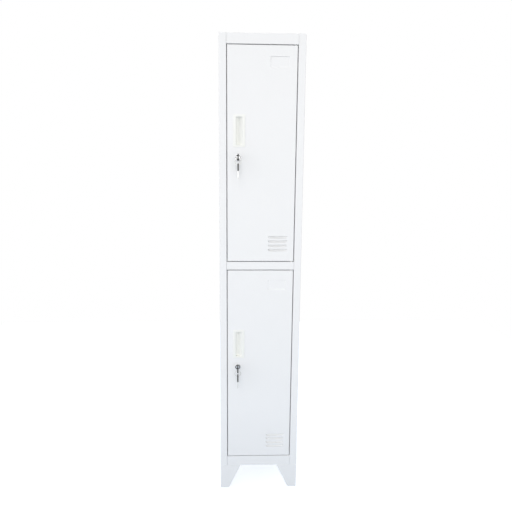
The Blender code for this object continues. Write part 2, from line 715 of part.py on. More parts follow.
def clothes_rail(tier, floor_z, parent):
    """A tube between the side panels, in a flanged socket at each end."""
    z = floor_z + OPENING_HEIGHT - CLOTHES_RAIL_DROP
    y = LOCKER_DEPTH / 2
    rail_half = TRAY_HALF - SOCKET_FLANGE_THICKNESS - SEAT_GAP
    inner = CLOTHES_RAIL_RADIUS - CLOTHES_RAIL_WALL
    tube = [
        (CLOTHES_RAIL_RADIUS, rail_half),
        (CLOTHES_RAIL_RADIUS, -rail_half),
        (inner, -rail_half),
        (inner, rail_half),
    ]
    turned_piece(tier + "_clothes_rail", tube, "zinc steel", parent, ACROSS, (0, y, z), closed=True)
    bore = CLOTHES_RAIL_RADIUS + SEAT_GAP
    flange = bore + SOCKET_WALL + SOCKET_RIM
    socket = [
        (0, 0),
        (flange, 0),
        (flange, -SOCKET_FLANGE_THICKNESS),
        (bore + SOCKET_WALL, -SOCKET_FLANGE_THICKNESS),
        (bore + SOCKET_WALL, -SOCKET_LENGTH),
        (bore, -SOCKET_LENGTH),
        (bore, -SOCKET_FLANGE_THICKNESS),
        (0, -SOCKET_FLANGE_THICKNESS),
    ]
    about_face = Matrix.Rotation(math.pi, 4, "Z") @ ACROSS
    for word, x, turn in (("right", TRAY_HALF, ACROSS), ("left", -TRAY_HALF, about_face)):
        turned_piece(f"{tier}_{word}_rail_socket", socket, "zinc steel", parent, turn, (x, y, z))


def louvre_form(width, drop, depth, ceiling, front):
    """A rounded scoop round x: a long capsule kept below its ceiling and behind its front."""
    bm = bmesh.new()
    rings = ARC_STEPS * 2
    for side in (-1, 1):
        made = bmesh.ops.create_uvsphere(bm, u_segments=SMALL_ROUND, v_segments=rings, radius=1)
        ball = made["verts"]
        bmesh.ops.scale(bm, vec=(drop, depth, drop), verts=ball)
        bmesh.ops.translate(bm, vec=(side * (width / 2 - drop), 0, 0), verts=ball)
    hull = bmesh.ops.convex_hull(bm, input=bm.verts)
    loose = {item for item in hull["geom_interior"] if isinstance(item, bmesh.types.BMVert)}
    bmesh.ops.delete(bm, geom=list(loose), context="VERTS")
    shape = {item for item in hull["geom"] if isinstance(item, bmesh.types.BMFace)}
    bmesh.ops.delete(bm, geom=[face for face in bm.faces if face not in shape], context="FACES")
    for place, outward in (((0, 0, ceiling), (0, 0, 1)), ((0, front, 0), (0, -1, 0))):
        everything = bm.verts[:] + bm.edges[:] + bm.faces[:]
        bmesh.ops.bisect_plane(bm, geom=everything, plane_co=place, plane_no=outward, clear_outer=True)
        open_edges = [edge for edge in bm.edges if edge.is_boundary]
        if open_edges:
            bmesh.ops.contextual_create(bm, geom=open_edges)
    bmesh.ops.recalc_face_normals(bm, faces=bm.faces)
    return bm


def louvre_row(width, drop, depth, ceiling, front):
    """The same scoop once for each louvre, at its own height."""
    one = to_mesh_data("scoop", louvre_form(width, drop, depth, ceiling, front))
    bm = bmesh.new()
    x = DOOR_HALF - LOUVRE_SIDE_SPACE - LOUVRE_WIDTH / 2
    for number in range(LOUVRE_COUNT):
        start = len(bm.verts)
        bm.from_mesh(one)
        bm.verts.ensure_lookup_table()
        z = LOUVRE_FIRST_SLIT + number * LOUVRE_PITCH
        bmesh.ops.translate(bm, vec=(x, 0, z), verts=bm.verts[start:])
    return to_mesh_data("scoops", bm)


def pull_corners(width, height):
    """The low and high corners of something centred on the inset pull, as x and z."""
    return (
        (PULL_CENTRE_X - width / 2, PULL_CENTRE_Z - height / 2),
        (PULL_CENTRE_X + width / 2, PULL_CENTRE_Z + height / 2),
    )


def sloped_data(face_outline, floor_outline, face, floor, turn):
    """A loft between two alike outlines, one at the face's depth and one at the floor's."""
    bm = bmesh.new()
    near = [bm.verts.new((x, y, -face)) for x, y in face_outline]
    far = [bm.verts.new((x, y, -floor)) for x, y in floor_outline]
    bm.faces.new(near)
    bm.faces.new(far)
    for index, vert in enumerate(near):
        bm.faces.new((near[index - 1], vert, far[index], far[index - 1]))
    bmesh.ops.recalc_face_normals(bm, faces=bm.faces)
    bmesh.ops.transform(bm, matrix=turn, verts=bm.verts)
    return to_mesh_data("loft", bm)


def card_outline(left, right, bottom, top, spread):
    """The card recess's outline, spread sideways and downwards but not at its sheared upper edge."""
    return rounded_rectangle((left - spread, bottom - spread), (right + spread, top), CARD_CORNER_RADIUS)


def card_recess(skin, frame):
    """The pressed recess for a name card: sheared along its upper edge, sloped at the other three."""
    right = DOOR_HALF - CARD_SIDE_SPACE
    left = right - CARD_WIDTH
    top = DOOR_HEIGHT - CARD_TOP_SPACE
    bottom = top - CARD_HEIGHT
    floor_edges = (left + CARD_SLOPE, right - CARD_SLOPE, bottom + CARD_SLOPE)
    run_per_depth = CARD_SLOPE / CARD_DEPTH
    wall = SHEET / 2
    start = SHEET / 2
    spread = wall + CARD_SLOPE + (SHEET - start) * run_per_depth
    outer_face = card_outline(*floor_edges, top + SHEET, spread)
    outer_floor = card_outline(*floor_edges, top + SHEET, wall)
    join(skin, sloped_data(outer_face, outer_floor, start, CARD_DEPTH + SHEET, UPRIGHT), frame)
    spread = CARD_SLOPE + CUT_OVERRUN * run_per_depth
    inner_face = card_outline(*floor_edges, top, spread)
    inner_floor = card_outline(*floor_edges, top, 0)
    cut(skin, sloped_data(inner_face, inner_floor, -CUT_OVERRUN, CARD_DEPTH, UPRIGHT), frame)
    slot_low = (left - CARD_SLOT_EXTRA, -CUT_OVERRUN, top - CARD_SLOT_HEIGHT / 2)
    slot_high = (right + CARD_SLOT_EXTRA, CARD_DEPTH + CUT_OVERRUN, top + CARD_SLOT_HEIGHT / 2)
    cut(skin, box_data(slot_low, slot_high), frame)


def door_skin(tier, frame):
    """The folded door pan, with its pressed and cut features."""
    bm = bmesh.new()
    bmesh.ops.create_cube(bm, size=1)
    bmesh.ops.scale(bm, vec=(DOOR_HALF * 2, DOOR_THICKNESS, DOOR_HEIGHT), verts=bm.verts)
    bmesh.ops.translate(bm, vec=(0, DOOR_THICKNESS / 2, DOOR_HEIGHT / 2), verts=bm.verts)
    rear = max(bm.faces, key=lambda face: face.calc_center_median().y)
    bmesh.ops.delete(bm, geom=[rear], context="FACES_ONLY")
    skin = add_piece(tier + "_door_skin", to_mesh_data("pan", bm), "white powder coat", frame)
    round_bends(skin, DOOR_EDGE_RADIUS)
    thicken(skin, SHEET)
    for side in (-1, 1):
        edge = side * (DOOR_HALF - SHEET / 2)
        tip = side * (DOOR_HALF - DOOR_LIP)
        low = (min(edge, tip), DOOR_THICKNESS - SHEET, CORNER_RELIEF)
        high = (max(edge, tip), DOOR_THICKNESS, DOOR_HEIGHT - CORNER_RELIEF)
        join(skin, box_data(low, high), frame)
    scoop_width = LOUVRE_WIDTH + SHEET * 2
    scoops = louvre_row(scoop_width, LOUVRE_DROP + SHEET, LOUVRE_DEPTH + SHEET, 0, SHEET / 2)
    join(skin, scoops, frame)
    before = -LOUVRE_DEPTH - CUT_OVERRUN
    hollows = louvre_row(LOUVRE_WIDTH, LOUVRE_DROP, LOUVRE_DEPTH, LOUVRE_EDGE_RISE, before)
    cut(skin, hollows, frame)
    card_recess(skin, frame)
    low, high = pull_corners(PULL_BODY_WIDTH + SEAT_GAP * 2, PULL_BODY_HEIGHT + SEAT_GAP * 2)
    opening = rounded_rectangle(low, high, PULL_BODY_RADIUS + SEAT_GAP)
    cut(skin, plate_data([opening], -CUT_OVERRUN, CUT_OVERRUN, UPRIGHT), frame)
    hole = LOCK_BARREL_RADIUS + SEAT_GAP
    lock_hole = drum_data(hole, -CUT_OVERRUN, CUT_OVERRUN, INWARDS, LARGE_ROUND)
    cut(skin, lock_hole, frame, (LOCK_X, 0, LOCK_Z))
    bush_hole = drum_data(BUSH_RADIUS + SEAT_GAP, -CUT_OVERRUN, CUT_OVERRUN)
    cut(skin, bush_hole, frame, (HINGE_X, HINGE_SETBACK, 0))
    bolt_hole = drum_data(PIVOT_HOLE_RADIUS, -CUT_OVERRUN, CUT_OVERRUN)
    cut(skin, bolt_hole, frame, (HINGE_X, HINGE_SETBACK, DOOR_HEIGHT))


def stiffener(tier, frame):
    """A hat section behind the skin, its brims against it."""
    brim = (STIFFENER_RIGHT_X - STIFFENER_LEFT_X) / 2
    foot = brim - STIFFENER_BRIM
    crown = foot - STIFFENER_WEB_RUN
    crown_y = SKIN_BACK_Y + STIFFENER_DEPTH
    half_profile = [(brim, SKIN_BACK_Y), (foot, SKIN_BACK_Y), (crown, crown_y)]
    profile = half_profile + [(-x, y) for x, y in reversed(half_profile)]
    data = folded_strip(profile, DOOR_HEIGHT - STIFFENER_END_SPACE * 2)
    place = (STIFFENER_LEFT_X + brim, 0, STIFFENER_END_SPACE)
    piece = add_piece(tier + "_door_stiffener", data, "white powder coat", frame, place)
    thicken(piece, SHEET)


def inset_pull(tier, frame):
    """The moulded pull: a border on the door's face, a body through it and an undercut recess."""
    low, high = pull_corners(PULL_BORDER_WIDTH, PULL_BORDER_HEIGHT)
    outline = rounded_rectangle(low, high, PULL_BORDER_RADIUS)
    front = SEAT_GAP + PULL_BORDER_THICKNESS
    pull_data = plate_data([outline], SEAT_GAP, front, UPRIGHT)
    pull = add_piece(tier + "_handle_insert", pull_data, "cream plastic", frame)
    low, high = pull_corners(PULL_BODY_WIDTH, PULL_BODY_HEIGHT)
    body = rounded_rectangle(low, high, PULL_BODY_RADIUS)
    join(pull, plate_data([body], -PULL_BODY_DEPTH, (SEAT_GAP + front) / 2, UPRIGHT), frame)
    left = PULL_CENTRE_X - PULL_RECESS_WIDTH / 2
    right = left + PULL_RECESS_WIDTH
    deep_left = left - PULL_UNDERCUT
    profile = [
        (left, -front - CUT_OVERRUN),
        (right, -front - CUT_OVERRUN),
        (right, PULL_FLOOR_RISE),
        (deep_left + PULL_FLOOR_WIDTH, PULL_RECESS_DEPTH),
        (deep_left, PULL_RECESS_DEPTH),
        (deep_left, PULL_LIP_THICKNESS + PULL_UNDERCUT),
        (left, PULL_LIP_THICKNESS),
    ]
    low, high = pull_corners(PULL_RECESS_WIDTH, PULL_RECESS_HEIGHT)
    cut(pull, plate_data([profile], low[1], high[1], Matrix.Identity(4)), frame)


def hinge_bush(tier, frame):
    """A flanged nylon bush in the door's lower edge."""
    flange_low = SHEET + SEAT_GAP
    profile = [
        (BUSH_FLANGE_RADIUS, flange_low + BUSH_FLANGE_THICKNESS),
        (BUSH_FLANGE_RADIUS, flange_low),
        (BUSH_RADIUS, flange_low),
        (BUSH_RADIUS, 0),
        (PIVOT_HOLE_RADIUS, 0),
        (PIVOT_HOLE_RADIUS, flange_low + BUSH_FLANGE_THICKNESS),
    ]
    place = (HINGE_X, HINGE_SETBACK, 0)
    turned_piece(tier + "_hinge_bush", profile, "nylon", frame, Matrix.Identity(4), place, closed=True)


def top_pivot(tier, frame):
    """The spring bolt that holds the door's upper corner, its bracket and its spring."""
    bracket_top = DOOR_HEIGHT - SHEET - SEAT_GAP
    bracket_low = bracket_top - BRACKET_HEIGHT
    leg_end = SKIN_BACK_Y + BRACKET_LEG
    profile = [
        (leg_end, bracket_low),
        (SKIN_BACK_Y, bracket_low),
        (SKIN_BACK_Y, bracket_top),
        (leg_end, bracket_top),
    ]
    data = folded_strip(profile, BRACKET_WIDTH, SIDEWAYS)
    place = (HINGE_X - BRACKET_WIDTH / 2, 0, 0)
    bracket = add_piece(tier + "_top_pivot_bracket", data, "zinc steel", frame, place)
    thicken(bracket, BRACKET_SHEET)
    drill = drum_data(PIVOT_HOLE_RADIUS, bracket_low - CUT_OVERRUN, bracket_top + CUT_OVERRUN)
    cut(bracket, drill, frame, (HINGE_X, HINGE_SETBACK, 0))

    slide = axis_empty(tier + "_pivot_bolt_slide", frame, (HINGE_X, HINGE_SETBACK, DOOR_HEIGHT))
    tip = DOOR_GAP + SHEET + BOLT_PROTRUSION
    collar_top = bracket_top - BRACKET_SHEET - SEAT_GAP - DOOR_HEIGHT
    collar_low = collar_top - BOLT_COLLAR_THICKNESS
    knob_top = bracket_low - DOOR_HEIGHT - SEAT_GAP
    bolt = [
        (0, tip),
        (PIVOT_RADIUS - PIN_POINT, tip),
        (PIVOT_RADIUS, tip - PIN_POINT),
        (PIVOT_RADIUS, collar_top),
        (BOLT_COLLAR_RADIUS, collar_top),
        (BOLT_COLLAR_RADIUS, collar_low),
        (PIVOT_RADIUS, collar_low),
        (PIVOT_RADIUS, knob_top),
        (BOLT_KNOB_RADIUS, knob_top),
        (BOLT_KNOB_RADIUS, knob_top - BOLT_KNOB_LENGTH),
        (0, knob_top - BOLT_KNOB_LENGTH),
    ]
    turned_piece(tier + "_top_pivot_bolt", bolt, "zinc steel", slide, Matrix.Identity(4))

    spring_low = bracket_low + BRACKET_SHEET + SEAT_GAP + SPRING_WIRE_RADIUS
    spring_high = DOOR_HEIGHT + collar_low - SEAT_GAP - SPRING_WIRE_RADIUS
    coil = coil_curve(spring_high - spring_low)
    place = (HINGE_X, HINGE_SETBACK, spring_low)
    add_piece(tier + "_top_pivot_spring", coil, "zinc steel", frame, place)


def coil_curve(height):
    """A compression spring as one unbroken helix."""
    curve = bpy.data.curves.new("coil", "CURVE")
    curve.dimensions = "3D"
    curve.bevel_depth = SPRING_WIRE_RADIUS
    curve.bevel_resolution = 1
    curve.use_fill_caps = True
    spline = curve.splines.new("POLY")
    count = SPRING_TURNS * SPRING_POINTS_PER_TURN
    spline.points.add(count)
    for number, point in enumerate(spline.points):
        angle = 2 * math.pi * number / SPRING_POINTS_PER_TURN
        x = SPRING_RADIUS * math.cos(angle)
        y = SPRING_RADIUS * math.sin(angle)
        point.co = (x, y, height * number / count, 1)
    return curve


def lock_housing(tier, lock_frame):
    """The fixed lock barrel with its round face, and the nut behind the door."""
    bore = PLUG_RADIUS + SEAT_GAP
    face_y = -SEAT_GAP
    profile = [
        (LOCK_BARREL_RADIUS, LOCK_BARREL_END_Y),
        (LOCK_BARREL_RADIUS, face_y),
        (LOCK_FACE_RADIUS, face_y),
        (LOCK_FACE_RADIUS, LOCK_FACE_Y + LOCK_FACE_CHAMFER),
        (LOCK_FACE_RADIUS - LOCK_FACE_CHAMFER, LOCK_FACE_Y),
        (bore, LOCK_FACE_Y),
        (bore, LOCK_BARREL_END_Y),
    ]
    name = tier + "_lock_housing"
    turned_piece(name, profile, "chrome", lock_frame, INWARDS, sides=LARGE_ROUND, closed=True)
    nut_end = SKIN_BACK_Y + LOCK_NUT_THICKNESS
    nut = drum_data(LOCK_NUT_RADIUS, SKIN_BACK_Y, nut_end, INWARDS, NUT_SIDES)
    piece = add_piece(tier + "_lock_nut", nut, "zinc steel", lock_frame)
    hole = LOCK_BARREL_RADIUS + SEAT_GAP
    drill = drum_data(hole, -CUT_OVERRUN, nut_end + CUT_OVERRUN, INWARDS, LARGE_ROUND)
    cut(piece, drill, lock_frame)


def lock_plug(tier, turning):
    """The turning plug: keyway in front, square tail for the cam behind."""
    profile = [
        (0, PLUG_BODY_END_Y),
        (PLUG_RADIUS, PLUG_BODY_END_Y),
        (PLUG_RADIUS, PLUG_FACE_Y),
        (0, PLUG_FACE_Y),
    ]
    plug = turned_piece(tier + "_lock_plug", profile, "chrome", turning, INWARDS, sides=LARGE_ROUND)
    half = PLUG_TAIL_WIDTH / 2
    tail = box_data((-half, PLUG_BODY_END_Y - CUT_OVERRUN, -half), (half, PLUG_TAIL_END_Y, half))
    join(plug, tail, turning)
    slot_half = KEY_BLADE_THICKNESS / 2 + SEAT_GAP
    slot_rise = KEY_BLADE_WIDTH / 2 + SEAT_GAP
    slot_end = PLUG_FACE_Y + KEY_BLADE_LENGTH + SEAT_GAP
    slot_low = (-slot_half, PLUG_FACE_Y - CUT_OVERRUN, -slot_rise)
    cut(plug, box_data(slot_low, (slot_half, slot_end, slot_rise)), turning)
    hole_low = CAM_SCREW_SEAT_Y - CAM_SCREW_LENGTH - SEAT_GAP
    hole_high = PLUG_TAIL_END_Y + CUT_OVERRUN
    cut(plug, drum_data(CAM_SCREW_RADIUS + SEAT_GAP, hole_low, hole_high, INWARDS), turning)


def lock_cam(tier, turning):
    """The cam arm, which points down when unlocked, and the screw that holds it."""
    half = PLUG_TAIL_WIDTH / 2 + SEAT_GAP
    hole = rectangle((-half, -half), (half, half))
    arm = CAM_WIDTH / 2
    corners = rectangle((-arm, -CAM_LENGTH), (arm, 0))
    rounded_end = rounded(corners, [arm / 2, arm / 2, 0, 0])
    above_arm = 2
    outline = [tuple(point) for point in rounded_end[:-above_arm]]
    for angle in boss_angles(arm):
        outline.append((CAM_BOSS_RADIUS * math.cos(angle), CAM_BOSS_RADIUS * math.sin(angle)))
    data = flat_curve([outline, hole], CAM_THICKNESS)
    cam = add_piece(tier + "_lock_cam", data, "zinc steel", turning, (0, CAM_Y, 0))
    cam.rotation_euler = UPRIGHT.to_euler()
    screw = [
        (0, CAM_SCREW_SEAT_Y + CAM_SCREW_HEAD_THICKNESS),
        (CAM_SCREW_HEAD_RADIUS, CAM_SCREW_SEAT_Y + CAM_SCREW_HEAD_THICKNESS),
        (CAM_SCREW_HEAD_RADIUS, CAM_SCREW_SEAT_Y),
        (CAM_SCREW_RADIUS, CAM_SCREW_SEAT_Y),
        (CAM_SCREW_RADIUS, CAM_SCREW_SEAT_Y - CAM_SCREW_LENGTH),
        (0, CAM_SCREW_SEAT_Y - CAM_SCREW_LENGTH),
    ]
    turned_piece(tier + "_cam_screw", screw, "zinc steel", turning, INWARDS)


def boss_angles(arm):
    """The angles round the cam's boss, from one side of the arm over the top to the other."""
    start = -math.acos(arm / CAM_BOSS_RADIUS)
    sweep = math.pi - start * 2
    return [start + sweep * step / SMALL_ROUND for step in range(SMALL_ROUND + 1)]


def key_blade_data():
    """A cut key blade in its own plane: x runs from the bow to the tip, y across the blade."""
    half = KEY_BLADE_WIDTH / 2
    tip = KEY_NECK_LENGTH + KEY_BLADE_LENGTH
    taper = KEY_BLADE_LENGTH * KEY_TIP_LENGTH_SHARE
    tip_half = half * KEY_TIP_WIDTH_SHARE
    bitting = KEY_BLADE_LENGTH - taper * 2
    step = bitting / KEY_CUT_COUNT
    lower = [(-KEY_TANG_LENGTH, -half), (tip - taper, -half), (tip, -tip_half), (tip, tip_half)]
    upper = [(tip - taper, half)]
    for number, share in enumerate(reversed(KEY_CUT_SHARES)):
        right = tip - taper - step * number
        cut_y = half - KEY_BLADE_WIDTH * share
        upper.append((right - step * KEY_CUT_START_SHARE, cut_y))
        upper.append((right - step * KEY_CUT_END_SHARE, cut_y))
        upper.append((right - step, half))
    return flat_curve([lower + upper + [(-KEY_TANG_LENGTH, half)]], KEY_BLADE_THICKNESS)


def key_bow_piece(name, parent, place, turn):
    """The moulded key bow: x runs back from the blade, with a slotted eye near its far end."""
    neck = KEY_BOW_NECK_WIDTH / 2
    half = KEY_BOW_WIDTH / 2
    corners = [
        (-KEY_BOW_LENGTH, -half),
        (-KEY_BOW_SHOULDER_LENGTH, -half),
        (0, -neck),
        (0, neck),
        (-KEY_BOW_SHOULDER_LENGTH, half),
        (-KEY_BOW_LENGTH, half),
    ]
    far_radii = [KEY_BOW_RADIUS, KEY_BOW_RADIUS]
    neck_radii = [KEY_BOW_RADIUS / 2, KEY_BOW_RADIUS / 2]
    outline = rounded(corners, far_radii + neck_radii + far_radii)
    eye = rounded_rectangle(
        (-KEY_HOLE_REACH - KEY_HOLE_WIDTH / 2, -KEY_HOLE_HEIGHT / 2),
        (-KEY_HOLE_REACH + KEY_HOLE_WIDTH / 2, KEY_HOLE_HEIGHT / 2),
        KEY_HOLE_WIDTH / 2 - SEAT_GAP,
    )
    thickness = KEY_BOW_THICKNESS / 2
    bow_data = plate_data([outline, eye], -thickness, thickness, turn)
    bow = add_piece(name, bow_data, "black plastic", parent, place)
    dish_low = -KEY_BOW_LENGTH + KEY_DISH_BORDER
    dish_high = -KEY_TANG_LENGTH - KEY_DISH_BORDER
    dish = rounded_rectangle(
        (dish_low, -half + KEY_DISH_BORDER), (dish_high, half - KEY_DISH_BORDER), KEY_DISH_RADIUS
    )
    web = KEY_BOW_WEB_THICKNESS / 2
    cut(bow, plate_data([dish], web, thickness + CUT_OVERRUN, turn), parent, place)
    cut(bow, plate_data([dish], -thickness - CUT_OVERRUN, -web, turn), parent, place)
    pocket_half = KEY_BLADE_WIDTH / 2 + SEAT_GAP
    pocket = rectangle((-KEY_TANG_LENGTH - SEAT_GAP, -pocket_half), (CUT_OVERRUN, pocket_half))
    pocket_depth = KEY_BLADE_THICKNESS / 2 + SEAT_GAP
    cut(bow, plate_data([pocket], -pocket_depth, pocket_depth, turn), parent, place)
    return bow


def keys(tier, turning):
    """The key in the lock, the ring through its bow and the spare key on the ring."""
    drawn = axis_empty(tier + "_key_slide", turning, (0, 0, 0))
    blade = add_piece(tier + "_key_blade", key_blade_data(), "key steel", drawn, (0, KEY_BOW_FACE_Y, 0))
    blade.rotation_euler = SIDEWAYS.to_euler()
    key_bow_piece(tier + "_key_bow", drawn, (0, KEY_BOW_FACE_Y, 0), SIDEWAYS)

    pivot = (RING_PIVOT_SIDE, RING_Y, -RING_PIVOT_DROP)
    hanging = axis_empty(tier + "_key_ring_pivot", drawn, pivot)
    bpy.ops.mesh.primitive_torus_add(
        major_segments=LARGE_ROUND,
        minor_segments=WIRE_SIDES,
        major_radius=RING_RADIUS,
        minor_radius=RING_WIRE_RADIUS,
    )
    carrier = bpy.context.object
    data = carrier.data
    bpy.data.objects.remove(carrier, do_unlink=True)
    data.transform(UPRIGHT)
    ring_place = (-RING_PIVOT_SIDE, 0, RING_PIVOT_DROP + RING_CENTRE_Z)
    add_piece(tier + "_key_ring", data, "key steel", hanging, ring_place)

    spare_place = (-RING_PIVOT_SIDE, 0, RING_PIVOT_DROP + SPARE_WIRE_Z)
    spare = axis_empty(tier + "_spare_key_pivot", hanging, spare_place)
    downwards = Matrix.Rotation(-math.pi / 2, 4, "X") @ SIDEWAYS
    bow_face = (0, 0, -SPARE_HOLE_DROP - KEY_HOLE_REACH)
    key_bow_piece(tier + "_spare_key_bow", spare, bow_face, downwards)
    spare_blade = add_piece(tier + "_spare_key_blade", key_blade_data(), "key steel", spare, bow_face)
    spare_blade.rotation_euler = downwards.to_euler()


def door(tier, floor_z, locker):
    """One door with everything that swings with it."""
    door_low = floor_z + DOOR_GAP
    hinge = axis_empty(tier + "_door_hinge", locker, (HINGE_X, HINGE_SETBACK, door_low))
    frame = axis_empty(tier + "_door_frame", hinge, (-HINGE_X, -HINGE_SETBACK, 0))
    door_skin(tier, frame)
    stiffener(tier, frame)
    inset_pull(tier, frame)
    hinge_bush(tier, frame)
    top_pivot(tier, frame)
    lock_frame = axis_empty(tier + "_lock_frame", frame, (LOCK_X, 0, LOCK_Z))
    lock_housing(tier, lock_frame)
    turning = axis_empty(tier + "_lock_turn", lock_frame, (0, 0, 0))
    lock_plug(tier, turning)
    lock_cam(tier, turning)
    keys(tier, turning)


def build():
    """Build the whole locker."""
    clear_scene()
    new_collection("double_locker")
    new_collection("cutters")
    locker = axis_empty("locker", None, (0, CABINET_Y, 0))
    cabinet(locker)
    for tier, floor_z in (("lower", LOWER_FLOOR_Z), ("upper", SHELF_TOP_Z)):
        lower_pivot(tier, floor_z, locker)
        door_buffers(tier, floor_z, locker)
        clothes_rail(tier, floor_z, locker)
        door(tier, floor_z, locker)


build()
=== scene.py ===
"""The looks of a two-tier sheet-steel locker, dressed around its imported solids.

Lengths are metres in the locker's own frame: x runs to the right, y to the back and z up.
"""

from __future__ import annotations

import logging
import math
from dataclasses import dataclass
from enum import Enum

import bmesh
import bpy
import numpy as np
from mathutils import Matrix, Vector


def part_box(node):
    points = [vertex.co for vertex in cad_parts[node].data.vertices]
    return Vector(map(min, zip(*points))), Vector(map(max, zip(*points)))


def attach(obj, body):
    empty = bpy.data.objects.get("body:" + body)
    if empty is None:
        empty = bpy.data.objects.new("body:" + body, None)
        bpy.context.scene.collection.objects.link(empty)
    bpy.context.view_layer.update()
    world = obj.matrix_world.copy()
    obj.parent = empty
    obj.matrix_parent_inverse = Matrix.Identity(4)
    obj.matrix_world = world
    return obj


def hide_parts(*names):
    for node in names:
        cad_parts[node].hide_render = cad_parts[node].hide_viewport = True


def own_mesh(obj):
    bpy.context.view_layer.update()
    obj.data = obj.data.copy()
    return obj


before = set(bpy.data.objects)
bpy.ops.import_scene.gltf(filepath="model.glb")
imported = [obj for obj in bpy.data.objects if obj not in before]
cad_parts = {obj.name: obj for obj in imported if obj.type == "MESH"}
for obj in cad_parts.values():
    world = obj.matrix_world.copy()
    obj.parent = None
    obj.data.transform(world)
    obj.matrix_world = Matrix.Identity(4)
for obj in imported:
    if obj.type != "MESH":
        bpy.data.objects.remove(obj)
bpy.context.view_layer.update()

Triple = tuple[float, float, float]
Place = Triple | np.ndarray
Pairs = list[tuple[float, float]]
Piece = bpy.types.Object
Socket = bpy.types.NodeSocket

LOG = logging.getLogger("locker")
WELD_DISTANCE = 2e-6
SEAT_GAP = 0.0003
SMOOTH_ANGLE = math.radians(32)
SQUARE_ON = 0.9999
ROUND_STEPS = 96
BEND_SHARE = 0.45
EVEN = (1.0, 1.0, 1.0)
WHITE = (1.0, 1.0, 1.0, 1.0)
NOISE_RANGE = (0.3, 0.7)
COLOUR_PATCHES = 14.0
GLOSS_PATCHES = 160.0


class Tier(Enum):
    """The two compartments, one above the other."""

    LOWER = "lower"
    UPPER = "upper"


class Axis(Enum):
    """Where a turned piece's own x, y and height go: the order of its coordinates in the frame."""

    UP = (0, 1, 2)
    INWARDS = (0, 2, 1)
    ACROSS = (2, 0, 1)


class Ends(Enum):
    """How the first and last rows of a grid are shut."""

    CAPPED = "capped"
    JOINED = "joined"


class Key(Enum):
    """The key in the lock, which points inwards, and the spare one, which hangs down."""

    OWN = "key"
    SPARE = "spare_key"


class Graph:
    """The shader nodes of a material or of the world, added and linked by short calls."""

    def __init__(self, owner: bpy.types.Material | bpy.types.World) -> None:
        """Start from the nodes that a new material or world comes with."""
        owner.use_nodes = True
        self.tree = owner.node_tree

    def feed(self, name: str, inputs: dict[str | int, object]) -> bpy.types.Node:
        """Give inputs of a node their values, or link other nodes' outputs to them.

        Args:
            name: The node's name.
            inputs: A value or an output for each input, by its name or number.

        Returns:
            The node.
        """
        node = self.tree.nodes[name]
        for key, value in inputs.items():
            if isinstance(value, Socket):
                self.tree.links.new(value, node.inputs[key])
            else:
                node.inputs[key].default_value = value
        return node

    def add(self, kind: str, inputs: dict[str | int, object], **settings: str) -> bpy.types.Node:
        """Add a node, set its properties and feed its inputs.

        Args:
            kind: The node's type in Blender.
            inputs: A value or an output for each input, by its name or number.
            settings: Properties of the node.

        Returns:
            The new node.
        """
        node = self.tree.nodes.new(kind)
        for key, value in settings.items():
            setattr(node, key, value)
        return self.feed(node.name, inputs)

    def noise(self, scale: float, detail: float, stretch: Triple = EVEN) -> Socket:
        """Make a noise pattern fixed to the piece.

        Args:
            scale: Features in each metre.
            detail: How many finer layers it has.
            stretch: How much tighter the pattern is along each axis.

        Returns:
            The pattern's value, near a half on average.
        """
        place = self.add("ShaderNodeTexCoord", {}).outputs["Object"]
        mapped = self.add("ShaderNodeMapping", {"Vector": place, "Scale": stretch}).outputs["Vector"]
        pattern = self.add("ShaderNodeTexNoise", {"Vector": mapped, "Scale": scale, "Detail": detail})
        return pattern.outputs["Fac"]

    def spread(self, value: Socket, low: float, high: float) -> Socket:
        """Stretch the middle of a noise pattern over a range of values.

        Args:
            value: The pattern.
            low: What the pattern's low values become.
            high: What its high values become.

        Returns:
            The new value.
        """
        middle = {"From Min": NOISE_RANGE[0], "From Max": NOISE_RANGE[1]}
        ends = {"Value": value, "To Min": low, "To Max": high}
        return self.add("ShaderNodeMapRange", middle | ends).outputs["Result"]

    def tint(self, value: Socket, first: Triple, second: Triple) -> Socket:
        """Blend two colours by a pattern.

        Args:
            value: The pattern.
            first: The colour where it is 0.
            second: The colour where it is 1.

        Returns:
            The blended colour.
        """
        inputs = {"Factor": value, "A": (*first, 1), "B": (*second, 1)}
        mix = self.add("ShaderNodeMix", inputs, data_type="RGBA")
        return next(out for out in mix.outputs if out.type == "RGBA")

    def bump(self, height: Socket, depth: float, under: Socket | None = None) -> Socket:
        """Raise the surface by a pattern.

        Args:
            height: The pattern, where 1 is the full depth.
            depth: The relief in metres.
            under: A coarser bump that this one lies on.

        Returns:
            The raised surface's direction.
        """
        below = {} if under is None else {"Normal": under}
        relief = {"Height": height, "Distance": depth, "Strength": 1.0}
        return self.add("ShaderNodeBump", relief | below).outputs["Normal"]


@dataclass(frozen=True)
class Finish:
    """What every finish has: the record's slot, two close colours and a roughness that varies."""

    slot: str
    colour: Triple
    second: Triple
    smoothest: float
    roughest: float

    def material(self) -> bpy.types.Material:
        """Return the finish's one material, made the first time it is asked for."""
        return bpy.data.materials.get(self.slot + "_finish") or self.build()

    def build(self) -> bpy.types.Material:
        """Make the material: a slow pattern in its colour, a finer one in its roughness, and its relief.

        Returns:
            The new material.
        """
        material = bpy.data.materials.new(self.slot + "_finish")
        graph = Graph(material)
        colour = graph.tint(graph.noise(COLOUR_PATCHES, detail=3.0), self.colour, self.second)
        gloss = graph.spread(graph.noise(GLOSS_PATCHES, detail=4.0), self.smoothest, self.roughest)
        relief = self.relief(graph)
        graph.feed("Principled BSDF", {"Base Color": colour, "Roughness": gloss, "Normal": relief})
        return material

    def relief(self, graph: Graph) -> Socket:
        """Shape the surface, each kind of finish in its own way."""
        raise NotImplementedError


